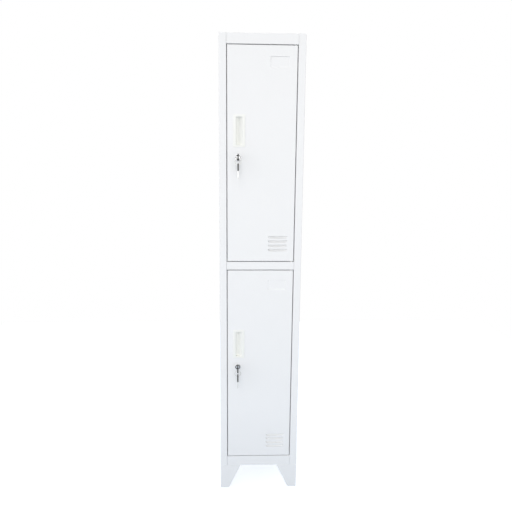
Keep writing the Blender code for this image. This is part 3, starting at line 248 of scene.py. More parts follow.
@dataclass(frozen=True)
class PowderCoat(Finish):
    """Baked powder paint: a soft orange peel with a finer grain on it."""

    peel_depth: float = 0.000035
    peel_scale: float = 480.0
    grain_depth: float = 0.000006
    grain_scale: float = 2400.0

    def relief(self, graph: Graph) -> Socket:
        """Lay a 2 mm orange peel and a 0.4 mm grain over each other."""
        peel = graph.bump(graph.noise(self.peel_scale, detail=1.0), self.peel_depth)
        return graph.bump(graph.noise(self.grain_scale, detail=2.0), self.grain_depth, peel)


@dataclass(frozen=True)
class Moulded(Finish):
    """Moulded plastic or rubber with the fine texture of its tool."""

    texture_depth: float = 0.000008
    texture_scale: float = 3200.0

    def relief(self, graph: Graph) -> Socket:
        """Lay a fine even texture on the surface."""
        return graph.bump(graph.noise(self.texture_scale, detail=2.0), self.texture_depth)


@dataclass(frozen=True)
class Plated(Finish):
    """Plated metal, with the fine lines of its polishing or rolling."""

    stretch: Triple = EVEN
    line_depth: float = 0.000003
    line_scale: float = 900.0

    def relief(self, graph: Graph) -> Socket:
        """Make the surface metal and draw its lines along one axis."""
        graph.feed("Principled BSDF", {"Metallic": 1.0})
        return graph.bump(graph.noise(self.line_scale, 3.0, self.stretch), self.line_depth)


WHITE_STEEL = PowderCoat("white_steel", (0.885, 0.889, 0.896), (0.873, 0.878, 0.887), 0.36, 0.46)
CREAM_PLASTIC = Moulded("pull_plastic", (0.895, 0.9, 0.87), (0.885, 0.89, 0.86), 0.3, 0.4)
CHROME = Plated("chrome", (0.55, 0.555, 0.565), (0.5, 0.505, 0.515), 0.08, 0.16)
ZINC = Plated("zinc_steel", (0.62, 0.625, 0.63), (0.65, 0.645, 0.62), 0.26, 0.36, (1.0, 1.0, 0.25), 0.000001)
KEY_STEEL = Plated("key_steel", (0.6, 0.595, 0.57), (0.55, 0.545, 0.52), 0.24, 0.36, (1.0, 0.2, 1.0))
BLACK_PLASTIC = Moulded("black_plastic", (0.012, 0.012, 0.013), (0.016, 0.016, 0.017), 0.34, 0.46)
NYLON = Moulded("nylon", (0.8, 0.79, 0.75), (0.77, 0.76, 0.71), 0.42, 0.52)
RUBBER = Moulded("rubber", (0.6, 0.6, 0.585), (0.56, 0.56, 0.545), 0.6, 0.75, 0.00002, 1500.0)


class Space:
    """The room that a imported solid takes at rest: its corners, its middle and its size."""

    def __init__(self, solid: str) -> None:
        """Measure a solid's box.

        Args:
            solid: The solid's name.
        """
        self.low, self.high = np.array(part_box(solid))
        self.middle = (self.low + self.high) / 2
        self.size = self.high - self.low


def surface(name: str, grid: np.ndarray, ends: Ends) -> Piece:
    """Make a closed mesh from rows of points, each row a loop.

    Point (i, j) forms a face with (i, j + 1), (i + 1, j + 1) and (i + 1, j), the columns wrapping round.

    Args:
        name: The piece's name.
        grid: Rows by columns by three coordinates.
        ends: Whether the end rows get a cap each or join each other.

    Returns:
        The object, its points merged, its faces outward and its round stretches smooth.
    """
    rows, columns = grid.shape[:2]
    row = np.arange(rows if ends is Ends.JOINED else rows - 1)[:, None]
    column = np.arange(columns)[None, :]
    beside = (column + 1) % columns
    here = row * columns
    below = (row + 1) % rows * columns
    corners = np.broadcast_arrays(here + column, here + beside, below + beside, below + column)
    faces = np.stack(corners, axis=-1).reshape(-1, 4).tolist()
    if ends is Ends.CAPPED:
        faces.append(list(range(columns))[::-1])
        faces.append(list(range((rows - 1) * columns, rows * columns)))
    mesh = bpy.data.meshes.new(name)
    mesh.from_pydata(grid.reshape(-1, 3).tolist(), [], faces)
    return finished_object(name, mesh)


def placed(name: str, data: bpy.types.ID) -> Piece:
    """Put a mesh, a light or a camera in the scene.

    Args:
        name: The new object's name.
        data: What the object holds.

    Returns:
        The object, at the frame's origin.
    """
    holder = bpy.data.objects.new(name, data)
    bpy.context.scene.collection.objects.link(holder)
    return holder


def finished_object(name: str, mesh: bpy.types.Mesh) -> Piece:
    """Merge a mesh's doubled points, turn its faces outward, smooth it and put it in the scene.

    Args:
        name: The piece's name.
        mesh: The mesh, which is changed in place.

    Returns:
        The object that holds it.
    """
    bm = bmesh.new()
    bm.from_mesh(mesh)
    bmesh.ops.remove_doubles(bm, verts=bm.verts, dist=WELD_DISTANCE)
    bmesh.ops.recalc_face_normals(bm, faces=bm.faces)
    bm.to_mesh(mesh)
    bm.free()
    mesh.shade_smooth()
    mesh.set_sharp_from_angle(angle=SMOOTH_ANGLE)
    return placed(name, mesh)


def dress(piece: Piece, finish: Finish, body: str, *replaced: str) -> Piece:
    """Give a new piece its finish, its body and the solids that it stands for, and report it.

    Args:
        piece: The new piece.
        finish: What its surface is.
        body: The moving body that it rides on.
        replaced: The solids that it stands for.

    Returns:
        The same piece.
    """
    piece.data.materials.clear()
    piece.data.materials.append(finish.material())
    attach(piece, body)
    if replaced:
        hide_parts(*replaced)
    LOG.info("%s: %d faces, rides on %s", piece.name, len(piece.data.polygons), body)
    return piece


def smoothed(finish: Finish, body: str, *solids: str) -> None:
    """Stand a merged copy in for each folded sheet: its folds and pressings smooth, its flat faces flat.

    Args:
        finish: What the sheets' surface is.
        body: The moving body that they ride on.
        solids: The folded sheets.
    """
    for solid in solids:
        piece = finished_object(solid + "_sheet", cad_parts[solid].data.copy())
        faces = piece.data.polygons
        normals = np.empty(len(faces) * 3)
        faces.foreach_get("normal", normals)
        flat = np.abs(normals.reshape(-1, 3)).max(axis=1) > SQUARE_ON
        faces.foreach_set("use_smooth", ~flat)
        dress(piece, finish, body, solid)


def full_turn(steps: int, start: float = 0.0) -> np.ndarray:
    """Space angles evenly round a full turn."""
    return np.linspace(start, start + 2 * np.pi, steps, endpoint=False)


def turned(profile: np.ndarray, axis: Axis, centre: Place, steps: int = ROUND_STEPS) -> np.ndarray:
    """Turn a profile round an axis: (r cos t, r sin t, h) for each profile point (r, h) and angle t.

    Args:
        profile: Rows of radius and height.
        axis: The way the height runs.
        centre: The axis's own zero point in the frame.
        steps: Points round each row.

    Returns:
        A grid with a row for each profile point.
    """
    angle = full_turn(steps)
    radius = profile[:, :1]
    height = np.broadcast_to(profile[:, 1:], (len(profile), steps))
    local = np.stack([radius * np.cos(angle), radius * np.sin(angle), height], axis=-1)
    return local[..., list(axis.value)] + np.array(centre)


def rounded_outline(corners: Pairs, radii: list[float], arc_steps: int, side_steps: int) -> np.ndarray:
    """Round the corners of a closed outline and divide its straight sides.

    With u and v the unit directions from a corner to its neighbours and a the angle between them, the arc
    of radius r starts r / tan(a / 2) along u and ends as far along v, about a centre r / sin(a / 2) along
    their bisector. Each arc point turns from the start to the end by spherical interpolation.

    Args:
        corners: The sharp corners in order.
        radii: A radius for each corner.
        arc_steps: Points on each arc.
        side_steps: Points inside each straight side.

    Returns:
        The outline's points.
    """
    corner = np.asarray(corners, float)
    radius = np.asarray(radii, float)[:, None]
    u = np.roll(corner, 1, axis=0) - corner
    v = np.roll(corner, -1, axis=0) - corner
    u /= np.linalg.norm(u, axis=1, keepdims=True)
    v /= np.linalg.norm(v, axis=1, keepdims=True)
    angle = np.arccos(np.clip(np.sum(u * v, axis=1, keepdims=True), -1, 1))
    bisector = (u + v) / np.linalg.norm(u + v, axis=1, keepdims=True)
    middle = corner + bisector * radius / np.sin(angle / 2)
    start = corner + u * radius / np.tan(angle / 2) - middle
    end = corner + v * radius / np.tan(angle / 2) - middle
    sweep = (np.pi - angle)[:, :, None]
    share = np.linspace(0, 1, arc_steps)[None, :, None]
    turning = np.sin((1 - share) * sweep) * start[:, None] + np.sin(share * sweep) * end[:, None]
    arcs = middle[:, None] + turning / np.sin(sweep)
    along = np.linspace(0, 1, side_steps + 2)[None, 1:-1, None]
    following = np.roll(arcs[:, :1], -1, axis=0)
    sides = arcs[:, -1:] * (1 - along) + following * along
    return np.concatenate([arcs, sides], axis=1).reshape(-1, 2)


def rounded_rectangle(width: float, height: float, radius: float, *steps: int) -> np.ndarray:
    """Make a rectangle with round corners about the origin, with the steps of a rounded outline."""
    x, z = width / 2, height / 2
    return rounded_outline([(-x, -z), (x, -z), (x, z), (-x, z)], [radius] * 4, *steps)


def ray_loop(outline: np.ndarray, centre: tuple[float, float], steps: int) -> np.ndarray:
    """Find an outline's distance from a centre along evenly spaced rays, by interpolating over the angle.

    Args:
        outline: The outline's points.
        centre: A point inside it, which sees all of it.
        steps: How many rays there are.

    Returns:
        A distance for each ray.
    """
    from_centre = outline - np.array(centre)
    angle = np.arctan2(from_centre[:, 1], from_centre[:, 0])
    distance = np.hypot(from_centre[:, 0], from_centre[:, 1])
    return np.interp(full_turn(steps, -np.pi), angle, distance, period=2 * np.pi)


def ray_points(distance: np.ndarray, centre: tuple[float, float], height: float) -> np.ndarray:
    """Turn distances along evenly spaced rays back into points, all at one height."""
    angle = full_turn(len(distance), -np.pi)
    x, z = centre[0] + distance * np.cos(angle), centre[1] + distance * np.sin(angle)
    return np.column_stack([x, z, np.full(len(distance), height)])


def quarter(radius: float, steps: int = 6) -> tuple[np.ndarray, np.ndarray]:
    """Give a rounded edge's inset and drop: r (1 - cos t) and r (1 - sin t) for t over a quarter turn."""
    angle = np.linspace(0, np.pi / 2, steps)
    return radius * (1 - np.cos(angle)), radius * (1 - np.sin(angle))


def rounded_profile(points: Pairs, radius: float, steps: int = 5) -> np.ndarray:
    """Round the inner corners of an open profile, keeping its two end points.

    A bend runs from a to b about its corner c as (1 - t)^2 a + 2 t (1 - t) c + t^2 b.

    Args:
        points: The sharp profile.
        radius: How far each bend reaches from its corner, or less on a short side.
        steps: Points on each bend.

    Returns:
        The rounded profile's points.
    """
    point = np.asarray(points, float)
    corner = point[1:-1]
    u, v = point[:-2] - corner, point[2:] - corner
    u_length = np.linalg.norm(u, axis=1, keepdims=True)
    v_length = np.linalg.norm(v, axis=1, keepdims=True)
    reach = np.minimum(radius, np.minimum(u_length, v_length) * BEND_SHARE)
    start = corner + u / u_length * reach
    end = corner + v / v_length * reach
    t = np.linspace(0, 1, steps)[None, :, None]
    bends = (1 - t) ** 2 * start[:, None] + 2 * t * (1 - t) * corner[:, None] + t**2 * end[:, None]
    return np.vstack([point[:1], bends.reshape(-1, 2), point[-1:]])


def wire(path: np.ndarray, outward: np.ndarray, width: float, height: float, sides: int = 16) -> np.ndarray:
    """Carry an oval section along a path: p + w cos t n + h sin t b, with b square to the path and to n.

    Args:
        path: Points along the middle of the wire.
        outward: The direction n of the section's width at each point.
        width: Half the section's width.
        height: Half the section's height.
        sides: Points round the section.

    Returns:
        A grid with a row for each path point.
    """
    along = np.gradient(path, axis=0)
    across = np.cross(along, outward)
    across /= np.linalg.norm(across, axis=1, keepdims=True)
    angle = full_turn(sides)[None, :, None]
    return path[:, None] + width * np.cos(angle) * outward[:, None] + height * np.sin(angle) * across[:, None]


@dataclass
class Shell:
    """The cabinet's folded sheets."""

    sheets: tuple[str, ...] = (
        "left_side_panel",
        "right_side_panel",
        "back_panel",
        "top_panel",
        "bottom_panel",
        "middle_shelf",
        "front_left_leg",
        "front_right_leg",
        "rear_left_leg",
        "rear_right_leg",
    )

    def build(self) -> None:
        """Smooth each sheet's folds and coat it white."""
        smoothed(WHITE_STEEL, "cabinet", *self.sheets)


@dataclass
class Assembly:
    """What belongs to one tier, whose name its solids, pieces and bodies start with."""

    tier: Tier

    def node(self, piece: str) -> str:
        """Name this tier's own solid, piece or body."""
        return f"{self.tier.value}_{piece}"


@dataclass
class DoorLeaf(Assembly):
    """A door pan and its stiffener."""

    def build(self) -> None:
        """Smooth the pan's folds, louvres and card recess, and coat it and the stiffener white."""
        smoothed(WHITE_STEEL, self.node("door"), self.node("door_skin"), self.node("door_stiffener"))


@dataclass
class InsetPull(Assembly):
    """The moulded cream pull: a border on the door, and a wedge-shaped recess undercut on its left."""

    recess_width: float = 0.0235
    recess_height: float = 0.102
    recess_depth: float = 0.0115
    shallow_depth: float = 0.001
    flat_width: float = 0.009
    floor_ease: float = 0.06
    floor_shares: tuple[float, ...] = (0.0, 0.25, 0.5, 0.7, 0.85, 0.95, 1.0)
    fillet: float = 0.0012
    fillet_share: float = 0.85
    undercut: float = 0.0025
    lip: float = 0.002
    wall: float = 0.00375
    end_wall: float = 0.003
    back_wall: float = 0.002
    border: float = 0.004
    corner: float = 0.0035
    border_corner: float = 0.004
    back_corner: float = 0.003
    back_corner_share: float = 0.4
    back_shares: tuple[float, float] = (0.5, 0.8)
    seam: float = 0.0002
    seam_share: float = 0.6
    edge: float = 0.0007
    arc_steps: int = 9
    side_steps: int = 14

    def loop(self, width: float, height: float, radius: float, depth: float) -> np.ndarray:
        """Make a rounded rectangle about the pull's centre, so deep behind the door's face."""
        flat = rounded_rectangle(width, height, radius, self.arc_steps, self.side_steps)
        return np.column_stack([flat, np.full(len(flat), depth)])

    def floor_depth(self, x: np.ndarray) -> np.ndarray:
        """Give the recess floor's depth: full at the left, then rising evenly to the right edge.

        The rise follows s - k sin(2 pi s), where s is the share of the slope and k its ease.

        Args:
            x: Places to the right of the pull's centre.

        Returns:
            The depth behind the door's face at each place.
        """
        left = -self.recess_width / 2 - self.undercut
        slope_start = left + self.flat_width
        right = self.recess_width / 2
        share = np.clip((x - slope_start) / (right - slope_start), 0, 1)
        eased = share - self.floor_ease * np.sin(2 * np.pi * share)
        return self.recess_depth + (self.shallow_depth - self.recess_depth) * eased

    def rows(self, front: float) -> np.ndarray:
        """List the loops from the middle of the recess floor over the border to the back of the body.

        Args:
            front: How far the border stands in front of the door.

        Returns:
            Rows of loops as (x, z, depth behind the door's face).
        """
        mouth = self.loop(self.recess_width, self.recess_height, self.corner, 0)[:, :2]
        leftness = np.clip(-mouth[:, 0] / (self.recess_width / 2), 0, 1) ** 3
        shift = np.column_stack([-self.undercut * leftness, np.zeros(len(mouth))])
        rows = []
        for share in self.floor_shares:
            flat = (mouth + shift) * share
            fillet = self.fillet * max(0.0, (share - self.fillet_share) / (1 - self.fillet_share)) ** 2
            rows.append(np.column_stack([flat, np.maximum(self.floor_depth(flat[:, 0]) - fillet, -front)]))
        bottom = rows[-1][:, 2]
        for depth, share in ((self.lip + self.undercut, 1.0), (self.lip, 0.0), (-front + self.edge, 0.0)):
            rows.append(np.column_stack([mouth + shift * share, np.minimum(depth, bottom)]))
        insets, drops = quarter(self.edge)
        for inset, drop in zip(insets, drops):
            size = (self.recess_width + inset * 2, self.recess_height + inset * 2)
            rows.append(self.loop(*size, self.corner + inset, drop - front))
        body_width = self.recess_width + (self.undercut + self.wall) * 2
        body_height = self.recess_height + self.end_wall * 2
        outer_width = body_width + self.border * 2
        outer_height = body_height + self.border * 2
        for inset, drop in zip(insets[::-1], drops[::-1]):
            size = (outer_width - inset * 2, outer_height - inset * 2)
            rows.append(self.loop(*size, self.border_corner - inset, drop - front))
        back = self.recess_depth + self.back_wall
        for width, height, depth in (
            (outer_width, outer_height, -SEAT_GAP),
            (body_width, body_height, -SEAT_GAP),
            (body_width, body_height, back - self.edge),
            (body_width - self.edge * 2, body_height - self.edge * 2, back),
            (body_width * self.back_shares[0], body_height * self.back_shares[1], back),
            (self.seam, body_height * self.seam_share, back),
        ):
            radius = min(self.back_corner, width * self.back_corner_share)
            rows.append(self.loop(width, height, radius, depth))
        return np.array(rows)

    def build(self) -> None:
        """Make the pull in place of its solid."""
        solid = self.node("handle_insert")
        space = Space(solid)
        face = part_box(self.node("door_skin"))[0].y
        grid = self.rows(face - space.low[1])[..., Axis.INWARDS.value]
        centre = (space.middle[0], face, space.middle[2])
        piece = surface(self.node("pull"), grid + np.array(centre), Ends.CAPPED)
        dress(piece, CREAM_PLASTIC, self.node("door"), solid)


@dataclass
class CamLock(Assembly):
    """The chrome cylinder lock with its threaded barrel, nut, turning plug, cam and screw."""

    bore: float = 0.0063
    barrel: float = 0.0087
    thread_start: float = 0.0012
    thread_pitch: float = 0.0010
    thread_depth: float = 0.0005
    thread_steps: int = 8
    rim: float = 0.0010
    dish: float = 0.0005
    dish_reach: float = 0.0016
    slope_reach: float = 0.0026
    bore_edge: float = 0.0002
    keyway_width: float = 0.0024
    keyway_height: float = 0.0082
    keyway_depth: float = 0.0205
    keyway_corner: float = 0.0003
    plug_edge: float = 0.0004
    tail: float = 0.006
    tail_length: float = 0.003
    tail_corner: float = 0.0004
    nut_edge: float = 0.0003
    nut_cone_share: float = 0.985
    nut_cone_slope: float = 0.6
    head_thickness: float = 0.0022
    head_dome: float = 0.0012
    shank: float = 0.002
    cross_depth: float = 0.0011
    bar_share: float = 0.2
    bar_slope_share: float = 0.07
    arm_share: float = 0.62
    arm_slope_share: float = 0.12
    arc_steps: int = 5
    side_steps: int = 24
    plug_steps: int = 192
    head_rings: int = 30

    def centre(self) -> np.ndarray:
        """Find the lock's axis where it meets the door's face.

        Returns:
            The point on the face.
        """
        centre = Space(self.node("lock_housing")).middle
        centre[1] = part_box(self.node("door_skin"))[0].y
        return centre

    def measured(self, piece: str) -> tuple[str, float, float, float]:
        """Measure a piece of the lock along its axis.

        Args:
            piece: The piece, without its tier.

        Returns:
            Its solid's name, its radius, and its front and back behind the door's face.
        """
        solid, face = self.node(piece), self.centre()[1]
        space = Space(solid)
        return solid, space.size[0] / 2, space.low[1] - face, space.high[1] - face

    def housing(self) -> None:
        """Make the fixed barrel: a rounded bezel dished towards the plug, and a thread behind the door.

        The thread's radius at angle t and depth y is R - d |2 frac(y / pitch - t / 2 pi) - 1|.
        """
        solid, radius, front, back = self.measured("lock_housing")
        floor, edge = front + self.dish, self.bore_edge
        insets, drops = quarter(self.rim)
        bezel = [(self.bore, back), (self.bore, floor + edge), (self.bore + edge, floor)]
        bezel += [(self.bore + self.dish_reach, floor), (self.bore + self.slope_reach, front)]
        rim = np.column_stack([radius - insets[::-1], front + drops[::-1]])
        profile = np.vstack([bezel, rim, [(radius, -SEAT_GAP), (self.barrel, -SEAT_GAP)]])
        fixed = turned(profile, Axis.INWARDS, self.centre())
        start, pitch = self.thread_start, self.thread_pitch
        angle = full_turn(ROUND_STEPS)
        depth = np.linspace(start, back, int((back - start) / pitch * self.thread_steps))[:, None]
        wave = np.abs(2 * np.mod(depth / pitch - angle / (2 * np.pi), 1.0) - 1)
        fade = np.clip((back - depth) / pitch, 0, 1) * np.clip((depth - start) / pitch, 0, 1)
        ridge = self.barrel - self.thread_depth * wave * fade
        places = [ridge * np.cos(angle), np.broadcast_to(depth, ridge.shape), ridge * np.sin(angle)]
        thread = np.stack(places, axis=-1) + self.centre()
        piece = surface(self.node("lock_barrel"), np.concatenate([fixed, thread]), Ends.JOINED)
        dress(piece, CHROME, self.node("door"), solid)

    def plug(self) -> None:
        """Make the turning plug from loops: keyway, face, body and square tail."""
        solid, radius, front, back = self.measured("lock_plug")
        body_end = back - self.tail_length
        steps = (self.arc_steps, self.side_steps)
        keyway = rounded_rectangle(self.keyway_width, self.keyway_height, self.keyway_corner, *steps)
        tail = rounded_rectangle(self.tail, self.tail, self.tail_corner, *steps)
        slot, square = (ray_loop(outline, (0, 0), self.plug_steps) for outline in (keyway, tail))
        even = np.ones(self.plug_steps)
        rays = [
            (slot, front + self.keyway_depth),
            (slot, front + self.plug_edge),
            (slot + self.plug_edge / 2, front),
            (even * (radius - self.plug_edge), front),
            (even * radius, front + self.plug_edge),
            (even * radius, body_end),
            (square, body_end),
            (square, back),
        ]
        rows = np.array([ray_points(distance, (0, 0), height) for distance, height in rays])
        grid = rows[..., Axis.INWARDS.value] + self.centre()
        dress(surface(self.node("plug"), grid, Ends.CAPPED), CHROME, self.node("lock"), solid)

    def nut(self) -> None:
        """Make the hexagon nut: r = a / cos(t within a sixth), cut back at both ends by a cone."""
        solid, half_width, front, back = self.measured("lock_nut")
        half_height = Space(solid).size[2] / 2
        flat, long_way = sorted((half_width, half_height))
        turn = full_turn(ROUND_STEPS, -np.pi)
        angle = turn + (0.0 if half_width > half_height else np.pi / 2)
        side = flat / np.cos(np.mod(angle, np.pi / 3) - np.pi / 6)
        chamfered = np.minimum(side, (flat + long_way) / 2 * self.nut_cone_share)
        cone = (side - chamfered) * self.nut_cone_slope
        bore, edge = np.full(ROUND_STEPS, self.barrel + SEAT_GAP), self.nut_edge
        rays = [(bore, front + edge), (bore + edge, front), (chamfered, front), (side, front + cone)]
        rays += [(side, back - cone), (chamfered, back), (bore + edge, back), (bore, back - edge)]
        distance = np.array([ray for ray, _ in rays])
        height = np.array([np.broadcast_to(level, ROUND_STEPS) for _, level in rays])
        grid = np.stack([distance * np.cos(turn), height, distance * np.sin(turn)], axis=-1) + self.centre()
        dress(surface(self.node("barrel_nut"), grid, Ends.JOINED), ZINC, self.node("door"), solid)

    def screw(self) -> None:
        """Make the cam screw: a domed head whose cross recess is the deeper of two crossed bars."""
        solid, head, tip, back = self.measured("cam_screw")
        angle = full_turn(ROUND_STEPS)
        share = np.linspace(0, 1, self.head_rings)[:, None]
        dome = back - self.head_dome * (1 - np.sqrt(np.clip(1 - share**4, 0, 1)))
        a, b = share * head * np.cos(angle), share * head * np.sin(angle)
        height = dome - self.cross_depth * np.maximum(self.bar(a, b, head), self.bar(b, a, head))
        under = back - self.head_thickness
        shank = np.array([(head, under), (self.shank, under), (self.shank, tip)])
        rest = turned(shank, Axis.INWARDS, (0, 0, 0))
        grid = np.concatenate([np.stack([a, height, b], axis=-1), rest]) + self.centre()
        dress(surface(self.node("cam_screw_cross"), grid, Ends.CAPPED), ZINC, self.node("lock"), solid)

    def bar(self, along: np.ndarray, across: np.ndarray, radius: float) -> np.ndarray:
        """Give 1 inside one bar of the cross recess and 0 outside, with sloping walls.

        Args:
            along: Distances from the middle along the bar.
            across: Distances from the middle across it.
            radius: The head's radius.

        Returns:
            The share of the recess's depth at each place.
        """
        width = np.clip((radius * self.bar_share - np.abs(across)) / (radius * self.bar_slope_share), 0, 1)
        length = np.clip((radius * self.arm_share - np.abs(along)) / (radius * self.arm_slope_share), 0, 1)
        return width * length

    def build(self) -> None:
        """Make the lock's pieces, and smooth the cam's bends."""
        self.housing()
        self.plug()
        self.nut()
        self.screw()
        smoothed(ZINC, self.node("lock"), self.node("lock_cam"))


@dataclass
class KeyPair(Assembly):
    """The key in the lock, the split ring in its bow and the spare key on the ring."""

    bow_length: float = 0.026
    bow_width: float = 0.026
    neck_width: float = 0.016
    shoulder: float = 0.007
    bow_radius: float = 0.005
    thickness: float = 0.005
    web: float = 0.003
    dish_border: float = 0.0025
    dish_corner: float = 0.003
    tang: float = 0.006
    eye_width: float = 0.0046
    eye_height: float = 0.009
    eye_corner: float = 0.002
    eye_rim: float = 0.0032
    eye_clearance: float = 0.0004
    edge: float = 0.0008
    soft: float = 0.0003
    soft_drop: float = 0.0002
    blade_width: float = 0.0076
    blade_thickness: float = 0.0018
    plain_length: float = 0.0092
    taper_share: float = 0.12
    tip_share: float = 0.45
    cut_shares: tuple[float, ...] = (0.18, 0.34, 0.22, 0.38, 0.26)
    cut_floor_shares: tuple[float, float] = (0.33, 0.67)
    groove_depth: float = 0.0004
    groove_share: float = 0.35
    groove_width_share: float = 0.3
    ring_wire: float = 0.0007
    ring_flat_share: float = 0.94
    ring_start: float = math.radians(162)
    crossing: float = math.radians(16)
    split: float = math.radians(2)
    arc_steps: int = 12
    bow_steps: int = 192
    blade_steps: int = 60
    face_steps: int = 24
    ring_steps: int = 260

    def bow_rows(self) -> np.ndarray:
        """List the bow's loops from its outer edge over one face into the eye and back over the other.

        Each loop is the distance of an outline along rays from the eye's centre, so the loops nest.

        Returns:
            Rows of loops as (length behind the blade, height, thickness).
        """
        half, neck = self.bow_width / 2, self.neck_width / 2
        corners = [(-self.bow_length, -half), (-self.shoulder, -half), (0, -neck)]
        corners += [(0, neck), (-self.shoulder, half), (-self.bow_length, half)]
        full, steps = self.bow_radius, self.arc_steps
        outline = rounded_outline(corners, [full, full, full / 2, full / 2, full, full], steps, steps)
        low_x, high_x = -self.bow_length + self.dish_border, -self.tang - self.dish_border
        dish_height = self.bow_width - self.dish_border * 2
        dish = rounded_rectangle(high_x - low_x, dish_height, self.dish_corner, steps, steps * 2)
        eye = rounded_rectangle(self.eye_width, self.eye_height, self.eye_corner, steps, steps)
        centre = (-self.bow_length + self.eye_rim + self.eye_width / 2, 0.0)
        shapes = (outline, dish + ((low_x + high_x) / 2, 0), eye + centre)
        outer, middle, inner = (ray_loop(shape, centre, self.bow_steps) for shape in shapes)
        top, low = self.thickness / 2, self.web / 2
        soft, drop = self.soft, self.soft_drop
        rays = [(outer - inset, top - fall) for inset, fall in zip(*quarter(self.edge))]
        rays += [(middle + soft, top), (middle, top - drop), (middle - soft, low + drop)]
        rays += [(np.maximum(middle - soft * 2, inner + self.eye_clearance), low)]
        rays += [(inner + soft, low), (inner, low - soft)]
        rays += [(distance, -height) for distance, height in reversed(rays)]
        return np.array([ray_points(distance, centre, height) for distance, height in rays])

    def blade_rows(self, tip: float) -> np.ndarray:
        """List the blade's sections from its tang to its tip.

        Along the blade the upper edge follows the cuts and the lower edge tapers at the tip. Across it the
        face sinks by a milled groove, g (1 - ((y - c) / w)^2) deep where that is positive.

        Args:
            tip: How far the tip lies in front of the bow.

        Returns:
            Rows of loops as (length, height, thickness).
        """
        half = self.blade_width / 2
        length = tip - self.plain_length
        taper = length * self.taper_share
        step = (length - taper * 2) / len(self.cut_shares)
        knots, heights = [-self.tang], [half]
        for number, share in enumerate(self.cut_shares):
            start = tip - taper - step * (len(self.cut_shares) - number)
            knots += [start, *(start + step * floor for floor in self.cut_floor_shares)]
            heights += [half, half - self.blade_width * share, half - self.blade_width * share]
        knots += [tip - taper, tip]
        heights += [half, half * self.tip_share]
        x = np.unique(np.concatenate([np.linspace(-self.tang, tip, self.blade_steps), knots]))
        upper = np.interp(x, knots, heights)[:, None]
        lower = np.interp(x, [-self.tang, tip - taper, tip], [-half, -half, -half * self.tip_share])[:, None]
        rise = np.linspace(0, 1, self.face_steps)
        share = np.concatenate([rise, rise[::-1]])[None, :]
        side = np.repeat([1.0, -1.0], self.face_steps)[None, :]
        height = lower + (upper - lower) * share
        from_groove = (height + half * self.groove_share) / (half * self.groove_width_share)
        groove = np.clip(1 - from_groove**2, 0, 1) * self.groove_depth
        edge = np.clip(np.minimum(height - lower, upper - height) / self.soft, 0, 1)
        thick = (self.blade_thickness / 2 - self.soft_drop * (1 - edge) - groove) * side
        return np.stack([np.broadcast_to(x[:, None], thick.shape), height, thick], axis=-1)

    def key(self, which: Key) -> None:
        """Make a bow and its blade, either in the lock, pointing inwards, or hanging, pointing down.

        Args:
            which: The key in the lock or the spare one.
        """
        body = self.node(which.value)
        bow, blade = Space(body + "_bow"), Space(body + "_blade")
        place = bow.middle
        if which is Key.SPARE:
            tip = bow.low[2] - blade.low[2]
            place[2] = bow.low[2]
            order, sign = [2, 1, 0], (1, 1, -1)
        else:
            tip = blade.high[1] - bow.high[1]
            place[1] = bow.high[1]
            order, sign = [2, 0, 1], (1, 1, 1)
        head = surface(body + "_bow_moulded", self.bow_rows()[..., order] * sign + place, Ends.JOINED)
        dress(head, BLACK_PLASTIC, body, body + "_bow")
        shaft = surface(body + "_blade_cut", self.blade_rows(tip)[..., order] * sign + place, Ends.CAPPED)
        dress(shaft, KEY_STEEL, body, body + "_blade")

    def ring(self) -> None:
        """Make the split ring: two turns side by side, crossing from one side to the other half way.

        The crossing follows 3 s^2 - 2 s^3, where s is the share of it.
        """
        solid = self.node("key_ring")
        space = Space(solid)
        side = space.size[1] / 4
        radius = space.size[2] / 2 - self.ring_wire
        first = self.crossing + self.split
        turn = np.linspace(first, 4 * np.pi - first, self.ring_steps)
        share = np.clip((turn - (2 * np.pi - self.crossing)) / (2 * self.crossing), 0, 1)
        offset = side * (2 * share**2 * (3 - 2 * share) - 1)
        tilt = turn + self.ring_start
        level = np.zeros(self.ring_steps)
        outward = np.column_stack([np.cos(tilt), level, np.sin(tilt)])
        path = outward * radius + np.column_stack([level, offset, level]) + space.middle
        grid = wire(path, outward, self.ring_wire, side * self.ring_flat_share)
        dress(surface(self.node("split_ring"), grid, Ends.CAPPED), KEY_STEEL, self.node("ring"), solid)

    def build(self) -> None:
        """Make both keys and the ring."""
        self.key(Key.OWN)
        self.key(Key.SPARE)
        self.ring()


